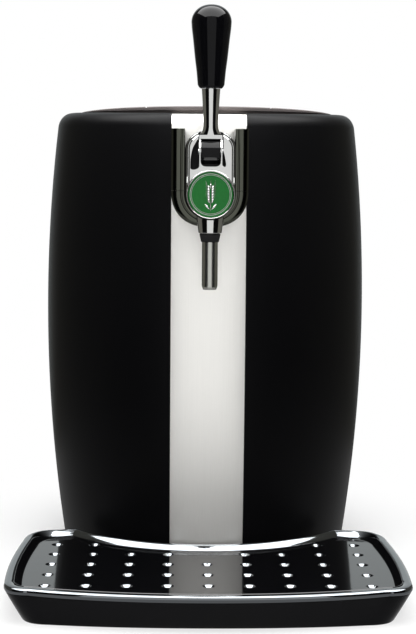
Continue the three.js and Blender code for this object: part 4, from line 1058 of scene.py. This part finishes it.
# %% Room for the lever in the bezel
pulled, neck_half, neck_deep, neck_span, saddle_room = math.radians(60), 8.3, 5.8, (1, 14), 9.9
neck_corners = [(side * neck_half, ahead) for side, ahead in (
    (-1, neck_deep), (1, neck_deep), (1, -neck_deep), (-1, -neck_deep))]
neck_room = stack("neck_room", [[(x, pivot_y - ahead * math.cos(pulled) - up * math.sin(pulled),
                                  pivot_z - ahead * math.sin(pulled) + up * math.cos(pulled))
                                 for x, ahead in neck_corners] for up in neck_span])
carve(bezel, opening(window), opening(moon), opening(slit),
      block((-pocket_half, pocket_half), bezel_past, (313.7, past_top)),
      block((-neck_half, neck_half), bezel_past, (312.3, 314)),
      rod("X", saddle_room, (-neck_half, neck_half), pivot, 72), neck_room)
done(bezel, "bezel_frame", "housing", "chrome", ["tap_bezel"])

# %% [markdown]
# ## Badge
# The badge is a crowned enamel disc in a chrome ring. Both are turned, the ring from a closed
# profile and the disc from one that starts and ends on the axis.

# %% Badge ring and disc
badge_place = (0, bezel_front - fit, badge_z)
badge_radius, disc_radius, disc_high, disc_drop = 16.6, 15.5, 3.0, 0.5
ring_profile = softened([(15.8, 0), (badge_radius, 0), (badge_radius, 3.3), (16.3, 4.0), (15.9, 4.0),
                         (15.8, 3.3), (15.8, 0)], 0.25, 3)
badge_ring = turned("badge_ring", ring_profile, 128, badge_place, "Y")
done(badge_ring, "badge_ring_fine", "housing", "chrome", ["badge_ring"])


def badge_top(radius):
    return disc_high - disc_drop * (radius / disc_radius) ** 2


disc_profile = [(0, 0), (disc_radius, 0), (disc_radius, 2.3)]
disc_profile += [(r, badge_top(r)) for r in (15.2, 13, 11, 9, 7, 5, 3, 1.5, 0)]
disc = turned("badge_disc", disc_profile, 128, badge_place, "Y")
done(disc, "badge_disc_fine", "housing", "green_enamel", ["badge_disc"])
print("badge", 2 * badge_radius, "mm across")

# %% [markdown]
# The disc carries a plain design of its own: an ear of barley between two thin rings. It could be
# a change of colour, but raised metal catches the light as a real inlay does. Every grain, beard
# and leaf is one spindle, long or short, half sunk in the enamel.

# %% Barley and rings on the badge
def spindle(middle, lean, long, wide, high, steps=10, sides=12):
    """A spindle that lies half sunk in the disc, its middle given from the badge's centre."""
    rings = []
    for t in np.linspace(0.03, 0.97, steps):
        along, girth = long * (t - 0.5), math.sin(math.pi * t) ** 0.7
        ring = []
        for turn in np.arange(sides) * 2 * math.pi / sides:
            across, out = wide / 2 * girth * math.cos(turn), high * girth * math.sin(turn)
            x = middle[0] + across * math.cos(lean) + along * math.sin(lean)
            up = middle[1] - across * math.sin(lean) + along * math.cos(lean)
            ring.append((x, badge_place[1] - badge_top(math.hypot(x, up)) - out, badge_z + up))
        rings.append(ring)
    return stack("spindle", rings)


first_grain, grain_pitch, grain_rows = -4.3, 1.75, 6
stalk = {"middle": (0, -7.6), "lean": 0, "long": 7.5, "wide": 0.5, "high": 0.25}
top_grain = {"middle": (0, 5.6), "lean": 0, "long": 3.4, "wide": 1.3, "high": 0.4}
top_beard = {"middle": (0, 8.6), "lean": 0, "long": 4.4, "wide": 0.26, "high": 0.2}
ear = [spindle(**part) for part in (stalk, top_grain, top_beard)]
for side in (-1, 1):
    ear.append(spindle((side * 2.3, -8.3), side * 0.75, long=5.2, wide=1.1, high=0.25))
    for row in range(grain_rows):
        up = first_grain + row * grain_pitch
        ear.append(spindle((side * 1.25, up), side * 0.42, long=3.2, wide=1.35, high=0.4))
        ear.append(spindle((side * 2.75, up + 3.1), side * 0.38, long=4.4, wide=0.26, high=0.2))
for radius, wide in ((14.0, 0.4), (13.1, 0.25)):
    low, half = badge_top(radius), wide / 2
    line = [(radius - half, low - 0.1), (radius + half, low - 0.1), (radius + half * 0.6, low + 0.2),
            (radius - half * 0.6, low + 0.2), (radius - half, low - 0.1)]
    ear.append(turned("line", line, 128, badge_place, "Y"))
print(len(ear), "raised shapes")
done(gathered("barley", ear), "badge_barley", "housing", "chrome", smooth=50)

# %% [markdown]
# ## Saddle
# A smoked chrome saddle grips the column: two arms and a cup under them, with a hairline between.
# All three are one cross-section, with fine steps in it, that runs down an arm or round the cup.
# The cross-section is stretched between an outer and an inner outline and ends behind on the strip.

# %% Saddle
saddle_half, saddle_cup_z, saddle_top, saddle_split, saddle_front = 27.0, 285.5, 328.0, 285.0, -165.0
saddle_drop, saddle_square, split_gap = 25.5, 0.88, 0.15
inner_half = tap_half + fit
# How far in from the saddle's outer edge, and how far behind its front
saddle_section = [(0.0, 6.0), (0.0, 3.4), (0.3, 2.5), (0.9, 1.7), (1.6, 1.15), (2.4, 0.72), (3.4, 0.4),
                  (4.6, 0.15), (6.0, 0.0), (6.6, 0.12), (6.85, 0.8), (7.3, 0.8), (7.5, 0.15), (7.9, 0.0),
                  (9.0, 0.0), (9.25, 0.25), (9.4, 0.8)]


def strip_y(x, z):
    """Where the strip's outer face is, in front of a point (x, z)."""
    half = half_at(z) - strip_inset + fit
    return -(half + body_nose) * math.sqrt(max(0.0, 1 - (x / half) ** 2))


def saddle_ring(outer, inner):
    """One cross-section between an outer and an inner point of the front outline."""
    outer, inner = np.asarray(outer, float), np.asarray(inner, float)
    ring = []
    for way, deep in saddle_section:
        x, z = outer + (inner - outer) * (way / (saddle_half - inner_half))
        ring.append((x, saddle_front + deep, z))
    return ring + [(x, strip_y(x, z), z) for x, z in (inner, outer)]


for side, name, solid in ((-1, "saddle_arm_left", "saddle_left"), (1, "saddle_arm_right", "saddle_right")):
    rows = [saddle_ring((side * saddle_half, z), (side * inner_half, z))
            for z in np.linspace(saddle_split + split_gap, saddle_top, 12)]
    done(stack(name, rows), name, "housing", "dark_chrome", [solid])

# %% Saddle cup
cup_top = saddle_split - split_gap
rows = []
for turn in np.linspace(math.pi, 2 * math.pi, 65)[1:-1]:
    outer = (saddle_half * math.copysign(abs(math.cos(turn)) ** saddle_square, math.cos(turn)),
             saddle_cup_z - 0.5 - saddle_drop * abs(math.sin(turn)) ** saddle_square)
    rows.append(saddle_ring(outer, (inner_half * math.cos(turn), badge_z + inner_half * math.sin(turn))))
left_end, right_end = [[saddle_ring((side * saddle_half, cup_top), (side * inner_half, cup_top)),
                        saddle_ring((side * saddle_half, saddle_split - 0.9), (side * inner_half, badge_z))]
                       for side in (-1, 1)]
rows = left_end + rows + right_end[::-1]
done(stack("saddle_cup", rows), "saddle_cup_fine", "housing", "dark_chrome", ["saddle_cup"])

# %% [markdown]
# ## Spout
# Three turned pieces hang under the tap: a chrome collar that narrows, a black cone, and a plain
# steel tube with a small lip where it pours. Each is a closed profile with its outer corners
# softened, and the collar is cut to the round of the tap.

# %% Spout
def spout_piece(name, inner, outer, radius, steps, back):
    """A turned piece from its inner start, its softened outer line, and the way back inside."""
    profile = [inner] + softened(outer, radius, steps) + back + [inner]
    return turned(name, profile, 96, (0, spout_y, 0))


collar = spout_piece("collar", (3.6, 256.3), [(7.4, 256.3), (8.05, 256.6), (9.25, 265.9), (9.25, 270.1)],
                     0.5, 4, [(3.6, 270.1)])
carve(collar, pushed(tap_line(tap_half, fit), (-past_front, 0)))
done(collar, "spout_collar_fine", "housing", "chrome", ["spout_collar"])
cone = spout_piece("cone", (5.8, 250.4), [(5.95, 250.4), (6.2, 250.6), (7.25, 255.5), (7.0, 256.0)], 0.4, 4,
                   [(3.6, 256.0), (3.6, 254.0), (5.8, 254.0)])
done(cone, "spout_seal_fine", "housing", "rubber", ["spout_seal"])
tube = spout_piece("tube", (4.0, 217.5), [(4.6, 217.5), (5.3, 219.4), (5.5, 220.4), (5.5, 253.7)], 0.3, 3,
                   [(4.0, 253.7)])
done(tube, "spout_tube_fine", "housing", "spout_steel", ["spout_tube"])

# %% [markdown]
# ## Lever
# The handle turns on a pin through the tap. A black drum fills the window of the bezel, and a nose
# under it holds down the bar that pinches the line. A bare cylinder would show one broad
# reflection. Two fine grooves across the drum break it into bands.

# %% Drum
drum_half, nose_half, groove_radius = 6.5, (6.3, 2.4), 1.0
drum_line = softened([(0, -drum_half), (drum_radius, -drum_half), (drum_radius, drum_half), (0, drum_half)],
                     0.5, 4)
drum = turned("drum", drum_line, 96, pivot, "X")
weld(drum, block((-nose_half[0], nose_half[0]), (pivot_y - nose_half[1], pivot_y + nose_half[1]),
                 (pivot_z - nose_reach, pivot_z)))
carve(drum, rod("X", pin_radius + pin_play, (-past_pin, past_pin), pivot))
for up in (3.3, -3.4):
    carve(drum, rod("X", groove_radius, (-6.8, 6.8), (0, pivot_y - 9.3, pivot_z + up), 24))
done(drum, "lever_drum", "lever", "gloss_black", ["lever_hub"])

# %% [markdown]
# A chrome fork clasps the drum, and a slim stem grows out of it. The stem is oval where it meets
# the fork and round further up, which a turned piece can't be. So it is a stack of ovals, and the
# fork's two cheeks are discs welded to it.

# %% Fork and stem
cheek_in, cheek_out, cheek_radius, neck_half_deep, neck_top = 6.8, 7.9, 9.6, 5.5, 11.4
core_radius, core_span = 3.5, (42, 66)
# Height above the pin, half width and half depth
stem_ovals = [(11.0, 7.6, 5.5), (11.6, 7.5, 5.5), (12.4, 7.0, 5.45), (13.4, 6.4, 5.4), (14.8, 5.7, 5.3),
              (16.4, 5.25, 5.2), (19, 5.15, 5.15), (24, 5.35, 5.35), (28, 5.55, 5.55), (33, 5.8, 5.8),
              (38, 6.12, 6.12), (42.7, 6.45, 6.45)]
around = np.arange(96) * 2 * math.pi / 96
neck_ys = (pivot_y - neck_half_deep, pivot_y + neck_half_deep)
rings = []
for up, wide, deep in stem_ovals:
    oval = np.stack([wide * np.cos(around), pivot_y + deep * np.sin(around)], 1)
    rings.append(at_height(oval, pivot_z + up))
stem = stack("stem", rings)
weld(stem, rod("Z", core_radius, core_span, pivot),
     block((-cheek_out, cheek_out), neck_ys, (pivot_z + drum_radius, pivot_z + neck_top)))
for side in (-1, 1):
    span = sorted((side * cheek_in, side * cheek_out))
    weld(stem, rod("X", cheek_radius, span, pivot, 72), block(span, neck_ys, (pivot_z, pivot_z + neck_top)))
carve(stem, rod("X", drum_radius + fit, (-cheek_in, cheek_in), pivot, 96),
      rod("X", pin_radius + pin_play, (-past_pin, past_pin), pivot))
done(stem, "lever_fork", "lever", "chrome", ["lever_stem"])

# %% [markdown]
# ## Grip
# The grip is pear-shaped and turned in one piece. Arcs alone would leave bands in its reflection
# where they meet, so its side is one flowing line through a few measured points, and its dome is a
# slightly full quarter of an oval.

# %% Grip
grip_radius, dome_low, dome_high, dome_power = 13.75, 87.7, 11.9, 0.92
grip_socket, grip_bottom, grip_floor = 3.8, 43, 66.3


def smooth_line(points, steps=6):
    """A flowing line through the points."""
    points = [np.asarray(p, float) for p in points]
    line = [points[0]]
    for i in range(len(points) - 1):
        before, start = points[max(i - 1, 0)], points[i]
        end, after = points[i + 1], points[min(i + 2, len(points) - 1)]
        square, cube = 2 * before - 5 * start + 4 * end - after, 3 * start - before - 3 * end + after
        for t in np.linspace(0, 1, steps + 1)[1:]:
            line.append(0.5 * (2 * start + (end - before) * t + square * t ** 2 + cube * t ** 3))
    return line


foot_line = softened([(7.4, grip_bottom), (8.2, 43.7), (9.2, 45.5)], 0.6, 4)
side_line = smooth_line([(9.2, 45.5), (9.66, 50.4), (10.15, 55.4), (11.2, 63.5), (12.5, 75.6), (13.4, 83),
                         (grip_radius, dome_low)])
dome = [(grip_radius * math.cos(t) ** dome_power, dome_low + dome_high * math.sin(t))
        for t in np.linspace(0, math.pi / 2, 20)[1:-1]]
grip_profile = [(grip_socket, grip_bottom)] + foot_line[:-1] + side_line + dome + [
    (0, dome_low + dome_high), (0, grip_floor), (grip_socket, grip_floor), (grip_socket, grip_bottom)]
grip = turned("grip", grip_profile, 128, pivot)
done(grip, "lever_grip_fine", "lever", "gloss_black", ["lever_grip"], smooth=40)

# %% [markdown]
# ## Drip tray
# Seen from above the tray is bowed in front, bulges at the sides, and ends in two ears round a
# hollow that takes the housing. Tray, rim and grille share this outline, drawn in by an inset. A
# scaled copy would change the width of the rim round the tray. An inset keeps it even.

# %% Tray outline
tray_half, tray_corner, tray_rear_half, tray_front = 139.0, 137.3, 136.0, 264.0
corner_y, corner_drop, side_start_y, side_mid_y, side_end_y, ear_corner_y = -247, 0.6, -227, -176, -112, -85
ear_in, ear_y, hollow_radius, hollow_half = 24, -84.8, 128, 81.8
rim_bottom, plate_top = 20.3, 21.0
# Points from the middle in front, round the corner, along the side and round the ear, then in the hollow
front_steps, corner_steps, side_steps, ear_steps, hollow_steps = 28, 20, 32, 20, 41


def curve_through(start, middle, end, steps):
    t = np.linspace(0, 1, steps + 1)[:-1, None]
    start, middle, end = (np.asarray(p, float) for p in (start, middle, end))
    return (1 - t) ** 2 * start + 2 * t * (1 - t) * middle + t ** 2 * end


def mirrored(half, flip):
    """A half outline, or values along it, with its other half."""
    return np.concatenate([half, half[1:-1][::-1] * flip])


def tray_line(inset, bend=None, corner_inset=None):
    """bend is how far the corner in front is rounded; corner_inset draws that corner in otherwise."""
    corner, rear = tray_corner - inset, tray_rear_half - inset
    bend = bend or max(18 - inset * 0.6, 8)
    turn_y = corner_y + (inset if corner_inset is None else corner_inset)
    front_y, side_start = inset - tray_front, (corner, side_start_y + inset / 2)
    front_end = (corner - bend, turn_y - corner_drop)
    side_mid = (2 * (tray_half - inset) - (corner + rear) / 2, side_mid_y)
    side_end = (rear, side_end_y - inset / 2)
    ear = (rear - max(ear_in - inset * 0.65, 2.5), ear_y - inset)
    radius = hollow_radius + inset
    turns = np.linspace(math.asin((hollow_half + inset) / radius), math.pi / 2, hollow_steps)
    return mirrored(np.concatenate([
        curve_through((0, front_y), (corner / 2, front_y), front_end, front_steps),
        curve_through(front_end, (corner, turn_y + fit), side_start, corner_steps),
        curve_through(side_start, side_mid, side_end, side_steps),
        curve_through(side_end, (rear, ear_corner_y - inset), ear, ear_steps),
        [ear],
        np.stack([radius * np.cos(turns), -radius * np.sin(turns)], 1)]), (-1, 1))


def rear_share():
    """For each point of the outline, how far it belongs to the edge behind, from 0 to 1."""
    ahead, ear = np.zeros(front_steps + corner_steps + side_steps), eased(np.linspace(0, 1, ear_steps))
    return mirrored(np.concatenate([ahead, ear, np.ones(1 + hollow_steps)]), 1)


def tray_level(inset, z, rear_lift=0.0):
    return at_height(tray_line(inset), z + rear_lift * rear_share())


print("tray outline has", len(tray_line(0)), "points")

# %% [markdown]
# The tray itself is a basin with leaning walls, a seat for the grille, and a tongue that slides
# under the housing. Towards the bottom the corners in front grow rounder and the line between them
# straighter. The basin inside is cut with the same rule, so the wall stays even all round.

# %% Tray
tray_walls = [(12.0, 0.0), (11.4, 0.15), (11.0, 0.6), (8.5, 5.2), (5.6, 10.6), (3.0, 15.6), (1.2, 19.2),
              (0.9, 19.8), (0.8, 20.0)]
wall_lean, wall_thick, basin_zs = (12 - 0.8) / 20, 2.5, (2.5, 15.5)
tongue = block((-42, 42), (-143, -85), (0.8, 3.7))


def wall_level(inset, z):
    return at_height(tray_line(inset, bend=18 + inset * 0.1, corner_inset=inset * 0.25), z)


tray = stack("tray", [wall_level(*level) for level in tray_walls])
carve(tray,
      stack("basin", [wall_level(12 - wall_lean * z + wall_thick, z) for z in basin_zs]),
      slab(tray_line(15.5), (15.35, 18.6)),
      stack("seat", [tray_level(11.6, 18.3), tray_level(6, 20.9), tray_level(6, 25)]))
weld(tray, tongue)
done(tray, "drip_tray_fine", "tray", "gloss_black", ["drip_tray"])

# %% [markdown]
# ## Rim
# The rim is a rounded chrome band. Along its edge behind it leans towards the front, so that it
# mirrors the bright card above and not the black housing. A real rim that stood level there would
# be lost against the black.

# %% Rim
rim_section = softened([(0.6, rim_bottom), (0.1, 21.2), (0.0, 22.6), (0.5, 24.2), (2.2, 25.0), (4.6, 24.9),
                        (6.0, 24.4)], 1.2, 4)
rim_wide, rear_raise, rear_tilt, tilt_from = 6.0, 1.3, 0.92, 0.5


def rim_level(inset, z):
    return tray_level(inset, z, rear_raise - rear_tilt * max(0, inset - tilt_from))


rim = stack("rim", [rim_level(*point) for point in rim_section] + [rim_level(rim_wide + 0.1, 24.3)])
carve(rim, slab(tray_line(rim_wide), (0, 30)))
done(rim, "tray_rim_fine", "tray", "rim_chrome", ["tray_rim"])

# %% [markdown]
# ## Grille
# The grille is a dished plate with a sloping border and rows of round drain holes. The border lies
# lower behind, where the rim slopes down to the plate. The holes are cut all at once, from one mesh
# of rods, which is much quicker than one by one.

# %% Grille
border_slope, hole_radius, hole_pitch_x, hole_pitch_y, first_row_y = 0.89, 4.3, 27.6, 27.73, -225.2
outer_steps = [(11.9, 18.6), (6.3, 22.4), (6.3, 24.5), (6.5, 24.8)]
inner_steps = [(12.0, plate_top), (11.2, plate_top + 0.08), (10.6, plate_top + 0.4), (7.0, 24.4),
               (6.7, 24.75), (6.7, 50)]


def grille_level(inset, z):
    return tray_level(inset, z, -border_slope * max(0, z - plate_top))


full_row = range(-4, 5)
hole_rows = [full_row] * 3 + [[c for c in full_row if c], [c for c in full_row if abs(c) > 2]]
hole_places = [(column * hole_pitch_x, first_row_y + row * hole_pitch_y)
               for row, columns in enumerate(hole_rows) for column in columns]
grille = stack("grille", [grille_level(*step) for step in outer_steps])
carve(grille, stack("hollow", [grille_level(*step) for step in inner_steps]),
      gathered("holes", [rod("Z", hole_radius, (10, 30), (x, y, 0), 40) for x, y in hole_places]))
done(grille, "drip_grille_fine", "grille", "plate_gloss", ["drip_grille"])
print(len(hole_places), "drain holes")

# %% [markdown]
# The plate is flat, but smooth shading bends its reflection towards the edge, because each corner
# takes the mean of the faces round it. So the edges round the level face are marked as sharp.

# %% Crease round the plate
level_from, creased = 0.9999, 0
mesh_work = bmesh.new()
mesh_work.from_mesh(grille.data)
for edge in mesh_work.edges:
    is_level = [face.normal.z > level_from for face in edge.link_faces]
    if any(is_level) and not all(is_level):
        edge.smooth = False
        creased += 1
mesh_work.to_mesh(grille.data)
mesh_work.free()
print(creased, "sharp edges round the plate and its holes")

# %% [markdown]
# Polished funnels line the drain holes. Seen from the front, the far wall of each funnel mirrors
# the bright card above and its end mirrors the black housing, which gives a white bean with a dark
# spot beside it. A painted ring would stay the same from every side.

# %% Funnels
funnel_line = [(1.9, 18.7)] + softened([(2.5, 18.7), (2.5, 19.0), (4.15, 20.5), (4.15, 20.95),
                                        (3.95, 20.95), (2.1, 19.4)], 0.3, 3) + [(1.9, 19.2), (1.9, 18.7)]
funnels = gathered("funnels", [turned("funnel", funnel_line, 40, (x, y, 0)) for x, y in hole_places])
done(funnels, "drain_funnels", "grille", "rim_chrome", smooth=50)

# %% [markdown]
# ## Feet
# Four rubber feet carry the machine. Each is turned, with a recess underneath that leaves a ring to
# stand on, as a moulded foot has.

# %% Feet
foot_line = [(0, 0)] + softened([(5.2, 0), (5.2, 0.7), (6.2, 0.7), (6.2, 0), (7.5, 0), (9, 1), (9, 3.7)],
                                0.3, 3) + [(0, 3.7)]
for name, x, y in (("foot_front_left", -66, -80), ("foot_front_right", 66, -80),
                   ("foot_rear_left", -80, 132), ("foot_rear_right", 80, 132)):
    done(turned(name, foot_line, 64, (x, y, 0)), name + "_fine", "housing", "rubber", [name])

# %% [markdown]
# ## Keg chamber and lid liner
# The chamber, the plug under the lid and its seal show when the lid is up. They are round, so they
# are turned again with more sides than the solids have, and with rounded lips.

# %% Chamber liner, plug and gasket
liner_rim = softened([(85.5, 60), (85.5, 334.3), (92, 334.3), (92, 335.8), (84, 335.8)], 0.6, 3)[:-1]
liner_line = [(0, 60), (84.5, 60)] + liner_rim
liner_line += [(84, 334.8), (84, 64.5), (83, 62.4), (80.5, 61.5), (0, 61.5)]
port_hole = rod("Y", port_radius + fit, (0, past_front), (0, 0, line_z))
liner = carve(turned("liner", liner_line, 128), port_hole)
done(liner, "chamber_liner_fine", "housing", "aluminium", ["chamber_liner"])
plug_line = [(0, 326), (60, 326), (62, 327.2), (66, 327.2), (68, 326)] + softened(
    [(74, 326), (78, 330), (78, 338.4), (92, 338.4), (92, 340.3), (0, 340.3)], 0.5, 3)[1:]
done(turned("plug", plug_line, 128), "lid_liner_fine", "lid", "black_plastic", ["lid_liner"])
gasket_line = softened([(86.5, 336.1), (90.5, 336.1), (90.5, 338.1), (86.5, 338.1)], 0.9, 5, closed=True)
gasket = turned("gasket", gasket_line + gasket_line[:1], 128)
done(gasket, "lid_gasket_fine", "lid", "rubber", ["lid_gasket"])

# %% [markdown]
# ## Fan
# The fan shows through the slots of the rear panel. Four arms behind its square frame carry a short
# spindle. A flat blade turned about its middle would do for a drawing. Real blades twist from root
# to tip, so that they push the air evenly, and each of these is a stack of sections that does so.

# %% Fan frame
fan_half, fan_bore, fan_mouth, fan_hub, fan_corner, fan_screw = 40.0, 37.5, 38.7, 13.0, 5, 35.7
fan_front, arms_front, fan_rear, before_fan, behind_fan = 140.3, 157.0, 160.0, 139, 161
arm_long, arm_half, spindle_radius, spindle_span = 39.5, 2.5, 3, (-158.5, -145.4)
fan_middle = (0, 0, fan_z)


def fan_level(flat, y):
    return [(x, y, fan_z + z) for x, z in flat]


frame_line = softened([(side * fan_half, up * fan_half) for side, up in ((-1, -1), (1, -1), (1, 1), (-1, 1))],
                      fan_corner, 6, closed=True)
throat = [(0, -behind_fan), (fan_mouth, -behind_fan), (fan_mouth, -fan_rear), (fan_bore, -158.2),
          (fan_bore, -142.1), (fan_mouth, -fan_front), (fan_mouth, -before_fan), (0, -before_fan)]
screw_holes = [rod("Y", 2.1, (-behind_fan, -before_fan), (x, 0, fan_z + z), 24)
               for x in (-fan_screw, fan_screw) for z in (-fan_screw, fan_screw)]
case = carve(stack("case", [fan_level(frame_line, y) for y in (fan_front, fan_rear)]),
             turned("throat", throat, centre=fan_middle, axis="Y"), gathered("screw_holes", screw_holes))
arms = []
for turn in (math.pi / 4, 3 * math.pi / 4):
    along = np.array([math.cos(turn), math.sin(turn)]) * arm_long
    across = np.array([-math.sin(turn), math.cos(turn)]) * arm_half
    flat = [-along - across, along - across, along + across, -along + across]
    arms.append(stack("arm", [fan_level(flat, y) for y in (arms_front, fan_rear)]))
weld(case, *arms, rod("Y", fan_hub, (-fan_rear, -arms_front), fan_middle, 64),
     rod("Y", spindle_radius, spindle_span, fan_middle, 32))
done(case, "fan_frame_fine", "housing", "black_plastic", ["fan_frame"])

# %% Fan rotor
blades, blade_root, blade_tip, root_pitch, tip_pitch = 7, 10, 36, 0.85, 0.55
blade_half, blade_thick, blade_camber, blade_y = 5.2, 0.6, 1.2, 150.1


def blade(turn, steps=8, sides=18):
    rings = []
    for share in np.linspace(0, 1, steps + 1):
        out = blade_root + (blade_tip - blade_root) * share
        pitch = root_pitch + (tip_pitch - root_pitch) * share
        ring = []
        for t in np.linspace(0, 2 * math.pi, sides, endpoint=False):
            deep = blade_half * math.cos(t)
            thick = blade_thick * math.sin(t) + blade_camber * math.sin(t) ** 2 - blade_thick
            aside = deep * math.sin(pitch) + thick * math.cos(pitch)
            ring.append((out * math.cos(turn) - aside * math.sin(turn),
                         blade_y + deep * math.cos(pitch) - thick * math.sin(pitch),
                         fan_z + out * math.sin(turn) + aside * math.cos(turn)))
        rings.append(ring)
    return stack("blade", rings)


hub_bore = spindle_radius + 0.25
hub_line = softened([(0, -143.5), (fan_hub, -143.5), (fan_hub, -156.7), (hub_bore, -156.7),
                     (hub_bore, -145.1), (0, -145.1)], 0.8, 4)
rotor = turned("rotor", hub_line, 64, fan_middle, "Y")
weld(rotor, *[blade(2 * math.pi * i / blades) for i in range(blades)])
done(rotor, "fan_rotor_fine", "fan", "black_plastic", ["fan_rotor"])

# %% [markdown]
# ## What stays as it is
# The other solids already have their shape: the base, the deck, the insulation and the parts inside
# it. Modelling them again would add nothing that can be seen, so they only get the finish that the
# record names for them, with the same patterns as the fine pieces.

# %% Finishes for the solids
node_finish = {part["node"]: part["material_slot"] for part in frame["record"]["subparts"]}
for name, solid in frame["nodes"].items():
    solid.data.materials.clear()
    solid.data.materials.append(finishes[node_finish[name]])
print(len(frame["nodes"]), "solids finished")

# %% [markdown]
# ## Last
# The dressed machine has to stay inside the box of its solids, so both boxes are gathered in a
# table, and the box of the dressed machine is printed.

# %% The two boxes
low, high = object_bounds()
{"solids": [list(cad_low), list(cad_high)], "dressed": [list(low), list(high)]}
print("dressed from", metres(low), "to", metres(high))
